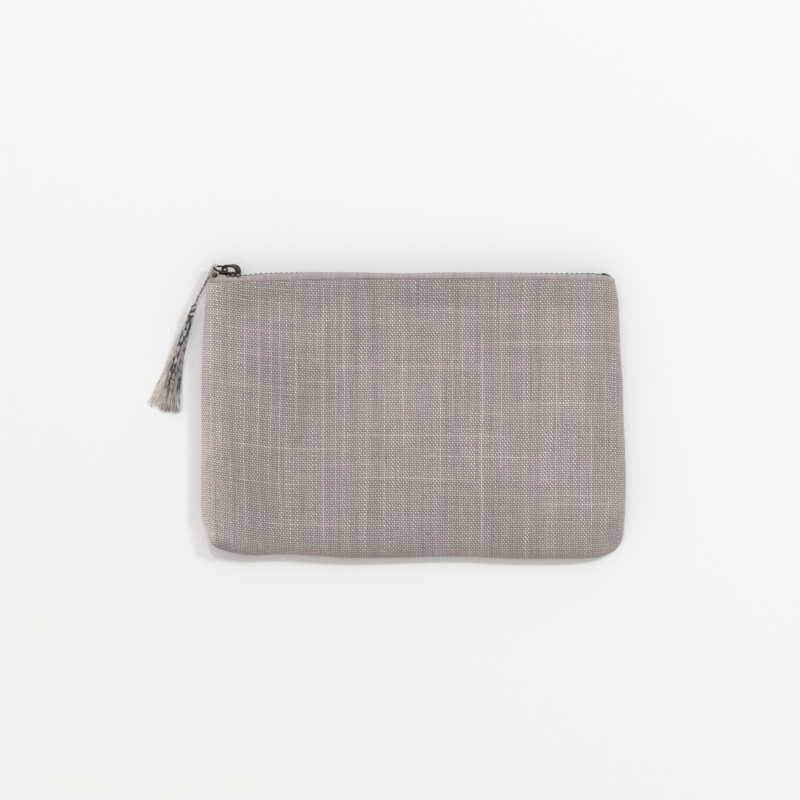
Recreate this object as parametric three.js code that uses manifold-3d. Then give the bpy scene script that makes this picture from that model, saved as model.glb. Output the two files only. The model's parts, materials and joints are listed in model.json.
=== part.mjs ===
// A flat zip pouch in slubbed linen, lying on its back panel, with a tassel on the zip pull.
// Millimetres. +X runs along the zip, +Y points from the hem to the mouth, +Z points up.
import * as THREE from "three";
import { mergeGeometries, mergeVertices } from "three/addons/utils/BufferGeometryUtils.js";
import Module from "manifold-3d";

const wasm = await Module();
wasm.setup();

// Sewn body
const BODY_HALF_WIDTH = 104;
const MOUTH_HALF_WIDTH = 100.3;
const BODY_HEIGHT = 137;
const WIDEST_ABOVE_HEM = 40;
const LEFT_CORNER = { across: 24, up: 20 };
const RIGHT_CORNER = { across: 14, up: 15 };
const SEAM_HEIGHT = 4.6;
const HEM_ROUND = 9;
const MOUTH_ROUND = 4;
const MOUTH_CORE = 60;
const BACK_ROUND = 5;
const CROWN_RISE = 1.4;
const PANEL_THICKNESS = 0.8;
const LINING_THICKNESS = 0.5;
const LAYER_GAP = 0.3;

// Zip chain
const TOOTH_PITCH = 2.5;
const TOOTH_LENGTH = 2.9;
const TOOTH_OVERLAP = 0.5;
const TOOTH_HALF_THICKNESS = 1.05;
const TOOTH_TIP_WIDTH = 0.72;
const TOOTH_HEAD_WIDTH = 1.12;
const TOOTH_HEAD_SETBACK = 0.3;
const TOOTH_NECK_WIDTH = 0.8;
const TOOTH_NECK_SETBACK = 1.2;
const TOOTH_LEG_WIDTH = 1.16;
const BEAD_WIDTH = 1.1;
const BEAD_HEIGHT = 1.1;
const BEAD_BEYOND_LEG = 0.2;
const TAPE_THICKNESS = 0.6;
const TAPE_BEND = 1.3;
const TAPE_TIGHT_BEND = 0.45;
const TAPE_STUB = 0.15;
const TAPE_SHOW = 2.1;
const TAPE_TUCK = 7;
const TAPE_END_SLANT = 4;
const CHAIN_END_MARGIN = 1.9;

// Stops
const STOP_RADIUS = 1.3;
const STOP_INSET = 0.1;
const STOP_WALL = 0.6;
const BOTTOM_STOP_LENGTH = 3.2;
const BOTTOM_STOP_WALL = 0.7;
const BOTTOM_STOP_INSET = 5;

// Slider
const SLIDER_LENGTH = 10.9;
const SLIDER_SHOULDER_WIDTH = 8.4;
const SLIDER_TAIL_WIDTH = 7.4;
const SLIDER_CORNER = 1.1;
const WING_THICKNESS = 1;
const CHANNEL_CLEARANCE = 0.35;
const FLANGE_WIDTH = 0.7;
const FLANGE_LENGTH = 6.9;
const FLANGE_SLOT = 1.2;
const RUNNING_GAP = 0.3;
const SEAT_GAP = 0.05;

// Row divergence round the slider's dividing post
const SPREAD_SLOPE = 0.5;
const SPREAD_EASE = 3;
const SPREAD_START = 4.9;
const SPREAD_LIMIT = 1.3;

// Crown and ring
const CROWN_HEIGHT = 3.3;
const CROWN_BAR = 1.1;
const CROWN_WIDTH = 1.7;
const CROWN_FRONT_LEG = 1.1;
const CROWN_REAR_LEG = 2.2;
const CROWN_SETBACK = 1.3;
const RING_RADIUS = 3.3;
const RING_WIRE = 1.04;
const RING_FROM_FRONT_LEG = 2;
const RING_DROP_FROM_BAR = 0.85;
const RING_LIFT = THREE.MathUtils.degToRad(5);
const RING_TILT = THREE.MathUtils.degToRad(18);

// Tassel
const CORD_DIAMETER = 1;
const CORD_SIDES = 8;
const KNOT_DIAMETER = 2.4;
const KNOT_FROM_RING = 3.7;
const HEAD_DIAMETER = 3.9;
const HEAD_LENGTH = 5;
const STRAND_DIAMETER = 1.2;
const STRAND_VALLEY = 0.6;
const STRANDS_PER_BUNDLE = 5;
const BUNDLE_ROOT_WIDTH = 1;
const BUNDLE_SPACING = 1.35;
const TABLE_CLEARANCE = 0.2;

// Heights and stations that follow from the sizes above
const legEnd = TOOTH_LENGTH - TOOTH_OVERLAP;
const beadOuter = legEnd + BEAD_BEYOND_LEG;
const beadInner = beadOuter - BEAD_WIDTH;
const besideSlider = SLIDER_SHOULDER_WIDTH / 2 + RUNNING_GAP + TAPE_THICKNESS / 2;
const besideBead = beadOuter + LAYER_GAP + SPREAD_LIMIT + TAPE_STUB + TAPE_TIGHT_BEND;
const tapeCentre = Math.max(besideSlider, besideBead);
const chainZ = tapeCentre + TAPE_THICKNESS / 2 + LAYER_GAP + PANEL_THICKNESS;
const mouthTopZ = 2 * chainZ;
const channelHalfHeight = TOOTH_HALF_THICKNESS + CHANNEL_CLEARANCE;
const wingFace = channelHalfHeight + WING_THICKNESS;
const crownTop = wingFace + SEAT_GAP + CROWN_HEIGHT;
const hemY = -(BODY_HEIGHT + TAPE_SHOW + crownTop) / 2;
const foldY = hemY + BODY_HEIGHT;
const chainY = foldY + TAPE_SHOW;
const widestY = hemY + WIDEST_ABOVE_HEM;
const chainEnd = MOUTH_HALF_WIDTH - CHAIN_END_MARGIN;
const stopX = -chainEnd + STOP_RADIUS + STOP_INSET;
const shoulderX = stopX + STOP_RADIUS + RUNNING_GAP;
const tailX = shoulderX + SLIDER_LENGTH;
const bottomStopX = chainEnd - BOTTOM_STOP_INSET;

const ROUND_SIDES = 14;
const { clamp, lerp } = THREE.MathUtils;
const point = (x, y, z) => new THREE.Vector3(x, y, z);

// Colours and finishes
const finish = (color, roughness, metalness = 0) =>
  new THREE.MeshStandardMaterial({ color, roughness, metalness });
const linen = finish("#a79f9c", 0.9);
const liningCloth = finish("#cfc9c2", 0.9);
const tapeCloth = finish("#ada7a3", 0.85);
const gunmetal = finish("#4a443c", 0.4, 0.9);
const darkYarn = finish("#55524f", 0.95);
const greyYarn = finish("#9a9590", 0.95);
const beigeYarn = finish("#c8b6a8", 0.95);

const pouch = new THREE.Group();

function add(parent, name, geometry, material) {
  const mesh = new THREE.Mesh(geometry, material);
  mesh.name = name;
  parent.add(mesh);
  return mesh;
}

// Closed mesh as a solid for joining and cutting
function solidOf(geometry) {
  const bare = geometry.clone();
  bare.deleteAttribute("normal");
  bare.deleteAttribute("uv");
  const merged = mergeVertices(bare, 1e-4);
  const vertProperties = Float32Array.from(merged.attributes.position.array);
  const triVerts = Uint32Array.from(merged.index.array);
  return new wasm.Manifold(new wasm.Mesh({ numProp: 3, vertProperties, triVerts }));
}

function geometryOf(solid) {
  const mesh = solid.getMesh();
  const geometry = new THREE.BufferGeometry();
  geometry.setAttribute("position", new THREE.BufferAttribute(Float32Array.from(mesh.vertProperties), 3));
  geometry.setIndex(Array.from(mesh.triVerts));
  return geometry;
}

const join = (first, ...others) =>
  geometryOf(others.reduce((solid, next) => solid.add(solidOf(next)), solidOf(first)));

const cut = (first, ...tools) =>
  geometryOf(tools.reduce((solid, tool) => solid.subtract(solidOf(tool)), solidOf(first)));

// Closed wall between two grids of points, one for each face, with all four rims closed
function wall(outer, inner) {
  const rows = outer.length;
  const columns = outer[0].length;
  const at = (face, i, j) => (face * rows + i) * columns + j;
  const triangles = [];
  const quad = (a, b, c, d) => triangles.push(a, b, c, a, c, d);
  for (let i = 0; i + 1 < rows; i++) {
    for (let j = 0; j + 1 < columns; j++) {
      quad(at(0, i, j), at(0, i, j + 1), at(0, i + 1, j + 1), at(0, i + 1, j));
      quad(at(1, i, j), at(1, i + 1, j), at(1, i + 1, j + 1), at(1, i, j + 1));
    }
  }
  for (let j = 0; j + 1 < columns; j++) {
    const last = rows - 1;
    quad(at(0, 0, j), at(1, 0, j), at(1, 0, j + 1), at(0, 0, j + 1));
    quad(at(0, last, j), at(0, last, j + 1), at(1, last, j + 1), at(1, last, j));
  }
  for (let i = 0; i + 1 < rows; i++) {
    const last = columns - 1;
    quad(at(0, i, 0), at(0, i + 1, 0), at(1, i + 1, 0), at(1, i, 0));
    quad(at(0, i, last), at(1, i, last), at(1, i + 1, last), at(0, i + 1, last));
  }
  const points = [...outer.flat(), ...inner.flat()];
  const volume = (n) => points[triangles[n]].dot(
    point(0, 0, 0).crossVectors(points[triangles[n + 1]], points[triangles[n + 2]]));
  let signed = 0;
  for (let n = 0; n < triangles.length; n += 3) {
    signed += volume(n);
  }
  if (signed < 0) {
    triangles.reverse();
  }
  const geometry = new THREE.BufferGeometry();
  geometry.setFromPoints(points);
  geometry.setIndex(triangles);
  return geometry;
}

// Flat outline in the XZ plane, thickened along +Y
function plate(corners, thickness) {
  const shape = new THREE.Shape(corners.map(([x, z]) => new THREE.Vector2(x, -z)));
  return new THREE.ExtrudeGeometry(shape, { depth: thickness, bevelEnabled: false }).rotateX(-Math.PI / 2);
}

// Outline in the YZ plane, drawn out along +X
function bar(corners, length) {
  const shape = new THREE.Shape(corners.map(([y, z]) => new THREE.Vector2(y, z)));
  const turned = new THREE.Matrix4().makeBasis(point(0, 1, 0), point(0, 0, 1), point(1, 0, 0));
  return new THREE.ExtrudeGeometry(shape, { depth: length, bevelEnabled: false }).applyMatrix4(turned);
}

// Round tube along a smooth curve through the points
function tube(points, diameter, steps, sides) {
  const section = new THREE.Shape();
  section.absarc(0, 0, diameter / 2, 0, 2 * Math.PI);
  const extrudePath = new THREE.CatmullRomCurve3(points, false, "centripetal");
  return new THREE.ExtrudeGeometry(section, { steps, extrudePath, curveSegments: sides / 2 });
}

// Outline of the sewn body, walked from the left end of the mouth round the hem to the right end
const SIDE_STEPS = 4;
const CORNER_STEPS = 5;
const HEM_STEPS = 7;
const sideBow = (BODY_HALF_WIDTH - MOUTH_HALF_WIDTH) / (foldY - widestY) ** 2;
const halfWidthAt = (y) => BODY_HALF_WIDTH - sideBow * (y - widestY) ** 2;

function sidePoints(sign, corner) {
  const start = hemY + corner.up;
  return Array.from({ length: SIDE_STEPS }, (_, i) => {
    const y = lerp(foldY, start, i / SIDE_STEPS);
    return point(sign * halfWidthAt(y), y, 0);
  });
}

function cornerPoints(sign, corner) {
  const side = halfWidthAt(hemY + corner.up);
  return Array.from({ length: CORNER_STEPS + 1 }, (_, i) => {
    const a = (i / CORNER_STEPS) * (Math.PI / 2);
    const x = side - corner.across * (1 - Math.cos(a));
    return point(sign * x, hemY + corner.up * (1 - Math.sin(a)), 0);
  });
}

const leftWalk = [...sidePoints(-1, LEFT_CORNER), ...cornerPoints(-1, LEFT_CORNER)];
const rightWalk = [...sidePoints(1, RIGHT_CORNER), ...cornerPoints(1, RIGHT_CORNER)];
const hemWalk = Array.from({ length: HEM_STEPS - 1 }, (_, i) =>
  leftWalk.at(-1).clone().lerp(rightWalk.at(-1), (i + 1) / HEM_STEPS));
const outline = [...leftWalk, ...hemWalk, ...rightWalk.reverse()];
const outward = outline.map((p, i) => {
  const along = outline[Math.min(i + 1, outline.length - 1)].clone().sub(outline[Math.max(i - 1, 0)]);
  return i === 0 || i === outline.length - 1
    ? point(Math.sign(p.x), 0, 0)
    : point(along.y, -along.x, 0).normalize();
});

// Quarter round that climbs from 0 at the edge to 1 at a full radius from it
const quarterRound = (t) => Math.sqrt(1 - (1 - clamp(t, 0, 1)) ** 2);
const quarterRoundSlope = (t) => (t < 1 ? (1 - t) / Math.max(quarterRound(t), 1e-6) : 0);

// The two leaves of the body: the front one arches over from the seam, the back one lies flat
const towardsMouth = (y) => clamp((y - widestY) / (foldY - widestY), 0, 1);
const leaves = {
  front: {
    up: 1,
    reach: mouthTopZ - SEAM_HEIGHT - LAYER_GAP / 2,
    crown: CROWN_RISE,
    round: (y) => lerp(HEM_ROUND, MOUTH_ROUND, towardsMouth(y)),
  },
  back: {
    up: -1,
    reach: SEAM_HEIGHT - LAYER_GAP / 2,
    crown: 0,
    round: (y) => lerp(BACK_ROUND, MOUTH_ROUND, towardsMouth(y)),
  },
};
const edgeDistances = [0, 0.3, 1.1, 2.6, 5, 9];
const innerSteps = 3;
const lastRounded = edgeDistances.length - 1;

// A point at outline station k and ring j, at a depth in from the outer face of the linen
function leafPoint(leaf, k, j, depth, top) {
  const edge = outline[k];
  const core = point(lerp(-MOUTH_CORE, MOUTH_CORE, k / (outline.length - 1)), foldY, 0);
  const span = outward[k].dot(edge.clone().sub(core));
  const distance = j <= lastRounded
    ? edgeDistances[j]
    : lerp(edgeDistances[lastRounded], span, (j - lastRounded) / innerSteps);
  const p = edge.clone().lerp(core, distance / span);
  const radius = leaf.round(edge.y);
  const lean = Math.atan((leaf.reach / radius) * quarterRoundSlope(distance / radius));
  const rise = leaf.reach * quarterRound(distance / radius) - depth * Math.cos(lean);
  const acrossShare = 1 - (p.x / halfWidthAt(p.y)) ** 2;
  const alongShare = (p.y - hemY) / BODY_HEIGHT;
  const crown = leaf.crown * acrossShare * 4 * alongShare * (1 - alongShare);
  p.addScaledVector(outward[k], -depth * Math.sin(lean));
  p.y -= (foldY - top) * towardsMouth(p.y);
  p.z = SEAM_HEIGHT + leaf.up * (LAYER_GAP / 2 + rise + crown);
  return p;
}

function leafLayer(leaf, depth, thickness, top) {
  const rings = [...Array(edgeDistances.length + innerSteps).keys()];
  const face = (d) => rings.map((j) => outline.map((_, k) => leafPoint(leaf, k, j, d, top)));
  return wall(face(depth), face(depth + thickness));
}

const liningDepth = PANEL_THICKNESS + LAYER_GAP;
const liningTop = foldY - TAPE_TUCK - LAYER_GAP;
add(pouch, "back_panel", leafLayer(leaves.back, 0, PANEL_THICKNESS, foldY), linen);
add(pouch, "front_panel", leafLayer(leaves.front, 0, PANEL_THICKNESS, foldY), linen);
add(pouch, "back_lining", leafLayer(leaves.back, liningDepth, LINING_THICKNESS, liningTop), liningCloth);
add(pouch, "front_lining", leafLayer(leaves.front, liningDepth, LINING_THICKNESS, liningTop), liningCloth);

// Zip, drawn about the centre line of its chain: +Y outwards, +Z towards the front leaf
const zip = new THREE.Group();
zip.position.set(0, chainY, chainZ);
pouch.add(zip);

// How far each row stands off the centre line, where the dividing post parts the rows
const spreadEnd = shoulderX + SPREAD_START;
function rowSpread(x) {
  const t = Math.max(spreadEnd - x, 0);
  const eased = t < SPREAD_EASE ? (t * t) / (2 * SPREAD_EASE) : t - SPREAD_EASE / 2;
  return Math.min(SPREAD_SLOPE * eased, SPREAD_LIMIT);
}
const SLOPE_STEP = 0.1;
const spreadSteps = 8;
const rowStations = [
  ...Array.from({ length: spreadSteps + 1 }, (_, i) => lerp(-chainEnd, spreadEnd, i / spreadSteps)),
  chainEnd,
];

// One tooth seen face on: rounded head past the centre line, waist, and legs on the bead
const toothOutline = [
  [-TOOTH_TIP_WIDTH / 2, -TOOTH_OVERLAP],
  [TOOTH_TIP_WIDTH / 2, -TOOTH_OVERLAP],
  [TOOTH_HEAD_WIDTH / 2, TOOTH_HEAD_SETBACK - TOOTH_OVERLAP],
  [TOOTH_NECK_WIDTH / 2, TOOTH_NECK_SETBACK - TOOTH_OVERLAP],
  [TOOTH_LEG_WIDTH / 2, legEnd],
  [-TOOTH_LEG_WIDTH / 2, legEnd],
  [-TOOTH_NECK_WIDTH / 2, TOOTH_NECK_SETBACK - TOOTH_OVERLAP],
  [-TOOTH_HEAD_WIDTH / 2, TOOTH_HEAD_SETBACK - TOOTH_OVERLAP],
];

function teethRow(phase) {
  const first = shoulderX + TOOTH_LEG_WIDTH / 2 + RUNNING_GAP + phase * TOOTH_PITCH;
  const last = bottomStopX - TOOTH_LEG_WIDTH / 2 - RUNNING_GAP;
  const count = Math.floor((last - first) / TOOTH_PITCH) + 1;
  const teeth = Array.from({ length: count }, (_, i) => {
    const x = first + i * TOOTH_PITCH;
    const slope = (rowSpread(x + SLOPE_STEP) - rowSpread(x - SLOPE_STEP)) / (2 * SLOPE_STEP);
    const tooth = plate(toothOutline, 2 * TOOTH_HALF_THICKNESS);
    tooth.translate(0, -TOOTH_HALF_THICKNESS, 0);
    tooth.rotateY(-Math.atan(slope));
    return tooth.translate(x, 0, rowSpread(x));
  });
  const beadFace = (y) => rowStations.map((x) => [
    point(x, y, rowSpread(x) + beadInner), point(x, y, rowSpread(x) + beadOuter)]);
  const bead = wall(beadFace(BEAD_HEIGHT / 2), beadFace(-BEAD_HEIGHT / 2));
  return join(bead, mergeGeometries(teeth));
}
add(zip, "front_teeth", teethRow(0), gunmetal);
add(zip, "back_teeth", teethRow(0.5).rotateX(Math.PI), gunmetal);

// Tape: out of the bead, over a bend, and in under the turned edge of the linen
const tapeSteps = { bend: 5, run: 3 };
function tapePath(x) {
  const start = beadOuter + LAYER_GAP + rowSpread(x);
  const bendRadius = Math.min(TAPE_BEND, tapeCentre - start - TAPE_STUB);
  const centre = { y: -bendRadius, d: tapeCentre - bendRadius };
  const bend = Array.from({ length: tapeSteps.bend + 1 }, (_, i) => {
    const a = (i / tapeSteps.bend) * (Math.PI / 2);
    return { y: centre.y + bendRadius * Math.cos(a), d: centre.d + bendRadius * Math.sin(a), a };
  });
  const runEnd = -TAPE_SHOW - TAPE_TUCK;
  const run = Array.from({ length: tapeSteps.run }, (_, i) => (
    { y: lerp(-bendRadius, runEnd, (i + 1) / tapeSteps.run), d: tapeCentre, a: Math.PI / 2 }));
  return [{ y: 0, d: start, a: 0 }, ...bend, ...run];
}

function tape(side) {
  const hiddenEnd = (chainEnd - TAPE_END_SLANT) / chainEnd;
  const face = (offset) => rowStations.map((x) => tapePath(x).map((p, i, path) => {
    const inX = x * lerp(1, hiddenEnd, i / (path.length - 1));
    return point(inX, p.y + offset * Math.cos(p.a), side * (p.d + offset * Math.sin(p.a)));
  }));
  return wall(face(TAPE_THICKNESS / 2), face(-TAPE_THICKNESS / 2));
}
add(zip, "front_zip_tape", tape(1), tapeCloth);
add(zip, "back_zip_tape", tape(-1), tapeCloth);

// Top stops: round clips closed over each bead at the left end of the rows
function topStop() {
  const inner = beadInner - LAYER_GAP - STOP_WALL;
  const length = beadOuter - inner;
  const body = new THREE.CylinderGeometry(STOP_RADIUS, STOP_RADIUS, length, ROUND_SIDES);
  body.rotateX(Math.PI / 2);
  body.translate(stopX, 0, rowSpread(stopX) + inner + length / 2);
  const slotDepth = length - STOP_WALL;
  const slot = new THREE.BoxGeometry(4 * STOP_RADIUS, BEAD_HEIGHT + 2 * LAYER_GAP, 2 * slotDepth);
  slot.translate(stopX, 0, rowSpread(stopX) + inner + STOP_WALL + slotDepth);
  return cut(body, slot);
}
add(zip, "front_top_stop", topStop(), gunmetal);
add(zip, "back_top_stop", topStop().rotateX(Math.PI), gunmetal);

// Bottom stop: one clamp over both beads at the right end
const beadRoom = BEAD_HEIGHT / 2 + LAYER_GAP;
const clampFace = beadRoom + BOTTOM_STOP_WALL;
const clampWeb = beadInner - LAYER_GAP;
const clampOutline = [
  [clampFace, -beadOuter], [clampFace, beadOuter], [beadRoom, beadOuter], [beadRoom, clampWeb],
  [-beadRoom, clampWeb], [-beadRoom, beadOuter], [-clampFace, beadOuter], [-clampFace, -beadOuter],
  [-beadRoom, -beadOuter], [-beadRoom, -clampWeb], [beadRoom, -clampWeb], [beadRoom, -beadOuter],
];
const bottomStop = bar(clampOutline, BOTTOM_STOP_LENGTH).translate(bottomStopX, 0, 0);
add(zip, "bottom_stop", bottomStop, gunmetal);

// Slider: two wings held apart by the dividing post, with flanges that keep the rows in
const shoulderHalf = SLIDER_SHOULDER_WIDTH / 2;
const tailHalf = SLIDER_TAIL_WIDTH / 2;
const sliderHalfAt = (x) => lerp(shoulderHalf, tailHalf, (x - shoulderX) / SLIDER_LENGTH);
const wingOutline = [
  [shoulderX, -shoulderHalf + SLIDER_CORNER], [shoulderX, shoulderHalf - SLIDER_CORNER],
  [shoulderX + SLIDER_CORNER, shoulderHalf], [tailX - SLIDER_CORNER, sliderHalfAt(tailX - SLIDER_CORNER)],
  [tailX, tailHalf - SLIDER_CORNER], [tailX, -tailHalf + SLIDER_CORNER],
  [tailX - SLIDER_CORNER, -sliderHalfAt(tailX - SLIDER_CORNER)], [shoulderX + SLIDER_CORNER, -shoulderHalf],
].reverse();

function flange(side, from, to) {
  const ends = [tailX - SLIDER_CORNER, tailX - FLANGE_LENGTH];
  const corners = ends.map((x) => [x, side * sliderHalfAt(x)]);
  const innerCorners = ends.map((x) => [x, side * (sliderHalfAt(x) - FLANGE_WIDTH)]).reverse();
  const outlineXZ = [...corners, ...innerCorners];
  return plate(side > 0 ? outlineXZ : outlineXZ.reverse(), to - from).translate(0, from, 0);
}

function dividingPost() {
  const clear = TOOTH_OVERLAP + RUNNING_GAP;
  const widest = SPREAD_LIMIT - clear;
  const spreadReached = (spread) => spreadEnd - (spread / SPREAD_SLOPE + SPREAD_EASE / 2);
  const shoulder = spreadReached(SPREAD_LIMIT);
  const tip = spreadReached(clear);
  const outlineXZ = [
    [shoulderX, -widest], [shoulder, -widest], [tip, 0], [shoulder, widest], [shoulderX, widest]];
  return plate(outlineXZ, 2 * wingFace).translate(0, -wingFace, 0);
}

const sunk = WING_THICKNESS / 2;
const halfSlot = FLANGE_SLOT / 2;
const flanges = [1, -1].flatMap((side) => [
  flange(side, halfSlot, channelHalfHeight + sunk), flange(side, -channelHalfHeight - sunk, -halfSlot)]);
const wings = [channelHalfHeight, -wingFace].map((y) =>
  plate(wingOutline, WING_THICKNESS).translate(0, y, 0));
add(zip, "slider_body", join(...wings, ...flanges, dividingPost()), gunmetal);

// Crown: the arch on the outer wing that holds the pull
const crownLeft = shoulderX + CROWN_SETBACK;
const crownRight = tailX - SLIDER_CORNER / 2;
const crownBase = wingFace + SEAT_GAP;
const crownUnder = crownTop - CROWN_BAR;
const archLeft = crownLeft + CROWN_FRONT_LEG;
const archRight = crownRight - CROWN_REAR_LEG;
const crownShape = new THREE.Shape();
crownShape.moveTo(crownLeft, crownBase);
crownShape.lineTo(archLeft, crownBase);
crownShape.lineTo(archLeft, crownUnder - CROWN_BAR / 2);
crownShape.quadraticCurveTo(archLeft, crownUnder, archLeft + CROWN_BAR, crownUnder);
crownShape.lineTo(archRight - CROWN_BAR, crownUnder);
crownShape.quadraticCurveTo(archRight, crownUnder, archRight, crownUnder - CROWN_BAR / 2);
crownShape.lineTo(archRight, crownBase);
crownShape.lineTo(crownRight, crownBase);
crownShape.quadraticCurveTo(crownRight, crownTop, crownRight - 2 * CROWN_REAR_LEG, crownTop);
crownShape.lineTo(crownLeft + 2 * CROWN_FRONT_LEG, crownTop);
crownShape.quadraticCurveTo(crownLeft, crownTop, crownLeft, crownUnder - CROWN_BAR / 2);
const crownSolid = { depth: CROWN_WIDTH, bevelEnabled: false, curveSegments: 5 };
const crown = new THREE.ExtrudeGeometry(crownShape, crownSolid);
add(zip, "slider_crown", crown.translate(0, 0, -CROWN_WIDTH / 2), gunmetal);

// Ring through the crown, turned a little off the wing so that the front leg stands in its hole
const ringPivot = point(archLeft + RING_FROM_FRONT_LEG, crownUnder - RING_DROP_FROM_BAR, 0);
const pull = new THREE.Group();
pull.position.copy(ringPivot);
pull.rotation.z = Math.PI - RING_LIFT;
zip.add(pull);
const ringWire = new THREE.TorusGeometry(RING_RADIUS, RING_WIRE / 2, 8, 24);
const ring = add(pull, "pull_ring", ringWire, gunmetal);
ring.position.x = RING_RADIUS;
ring.rotation.x = Math.PI / 2 - RING_TILT;

// Tassel: a cord looped through the ring and knotted, a bound head and three bundles of yarn.
// The route is laid by hand down to the table beside the pouch.
const tassel = new THREE.Group();
pouch.add(tassel);
const ringFar = pull.position.clone().add(zip.position);
ringFar.x -= 2 * RING_RADIUS * Math.cos(RING_LIFT);
ringFar.y += 2 * RING_RADIUS * Math.sin(RING_LIFT);
const fromRing = ([x, y, z = TABLE_CLEARANCE]) => point(ringFar.x + x, ringFar.y + y, z);
const cordRoute = [
  [-3, -5.6, 5.6], [-4.3, -8.1, 4.9], [-5.6, -10.7, 4.1],
  [-7, -13.2, 3.3], [-8.3, -15.7, 2.6], [-9.3, -18.1, 2.2],
].map(fromRing);
const fall = cordRoute[0].clone().sub(ringFar).normalize();
const knotCentre = ringFar.clone().addScaledVector(fall, KNOT_FROM_RING);
const across = point(-fall.y, fall.x, 0).normalize();
const loopRadius = RING_WIRE / 2 + RUNNING_GAP + CORD_DIAMETER / 2;
const loopFoot = knotCentre.clone().addScaledVector(fall, -KNOT_DIAMETER / 2 - LAYER_GAP);
const legSpacing = CORD_DIAMETER / 2 + LAYER_GAP / 2;
const loopPoints = 9;
const loopOverturn = 0.12 * Math.PI;
const loopArc = Array.from({ length: loopPoints }, (_, i) => {
  const a = lerp(-loopOverturn, Math.PI + loopOverturn, i / (loopPoints - 1));
  return ringFar.clone().addScaledVector(across, loopRadius * Math.cos(a))
    .addScaledVector(fall, -loopRadius * Math.sin(a));
});
const loopLegs = [1, -1].map((side) => loopFoot.clone().addScaledVector(across, side * legSpacing));
const loopRoute = [loopLegs[0], ...loopArc, loopLegs[1]];
add(tassel, "cord_loop", tube(loopRoute, CORD_DIAMETER, 16, CORD_SIDES), darkYarn);

const knot = new THREE.SphereGeometry(KNOT_DIAMETER / 2, 12, 8).translate(...knotCentre);
add(tassel, "cord_knot", knot, darkYarn);

const cordTop = knotCentre.clone().addScaledVector(fall, KNOT_DIAMETER / 2 + LAYER_GAP);
add(tassel, "tassel_cord", tube([cordTop, ...cordRoute.slice(1)], CORD_DIAMETER, 9, CORD_SIDES), darkYarn);

// Head: a bound barrel in line with the end of the cord, its profile in shares of radius and length
const cordEnd = cordRoute.at(-1);
const headDirection = cordEnd.clone().sub(cordRoute.at(-2)).setZ(0).normalize();
const headTop = cordEnd.clone().addScaledVector(headDirection, CORD_DIAMETER / 2 + LAYER_GAP);
const headRadius = HEAD_DIAMETER / 2;
const headProfile = [[0, 0], [0.55, 0], [0.9, 0.12], [1, 0.35], [0.92, 0.62], [1, 0.85], [0.93, 1], [0, 1]];
const headLathe = new THREE.LatheGeometry(
  headProfile.map(([r, h]) => new THREE.Vector2(r * headRadius, h * HEAD_LENGTH)), ROUND_SIDES);
const head = add(tassel, "tassel_head", headLathe, greyYarn);
head.position.copy(headTop);
head.quaternion.setFromUnitVectors(point(0, 1, 0), headDirection);

// Bundles fan out from the head to tips along the table, each a ridged sheet with a ridge per strand
const skirtTop = headTop.clone().addScaledVector(headDirection, HEAD_LENGTH + LAYER_GAP);
const skirtAcross = point(-headDirection.y, headDirection.x, 0);
const bundleSteps = 6;
const bundleColumns = 2 * STRANDS_PER_BUNDLE;

function yarnBundle(place, tips) {
  const face = (top) => Array.from({ length: bundleSteps + 1 }, (_, i) => {
    const along = i / bundleSteps;
    return Array.from({ length: bundleColumns + 1 }, (_, c) => {
      const f = c / bundleColumns;
      const fromMiddle = place * BUNDLE_SPACING + (f - 0.5) * BUNDLE_ROOT_WIDTH;
      const root = skirtTop.clone().addScaledVector(skirtAcross, fromMiddle);
      root.z -= STRAND_DIAMETER / 2;
      const tip = fromRing(tips.from).lerp(fromRing(tips.to), f);
      const p = root.lerp(tip, along);
      p.z = lerp(p.z, TABLE_CLEARANCE, Math.sin(Math.PI * along));
      p.z += top * (c % 2 ? STRAND_DIAMETER : STRAND_VALLEY);
      return p;
    });
  });
  return wall(face(1), face(0));
}
add(tassel, "beige_yarn", yarnBundle(-1, { from: [-32.4, -67], to: [-25.8, -70.2] }), beigeYarn);
add(tassel, "dark_yarn", yarnBundle(0, { from: [-24, -71], to: [-19.6, -71.8] }), darkYarn);
add(tassel, "grey_yarn", yarnBundle(1, { from: [-17.8, -72], to: [-14.4, -72] }), greyYarn);

export default pouch;
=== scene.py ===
# %% [markdown]
# # A linen zip pouch with a tassel on its zip
#
# This lesson dresses a measured model of a small zip pouch. The measured model gives every place and
# size. Here the stiff solids become cloth, woven tape, metal teeth, twisted cord and loose yarn.
# All sizes below are in millimetres, and they become metres only when a mesh is made.

# %% Load the measured model
import json

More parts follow.
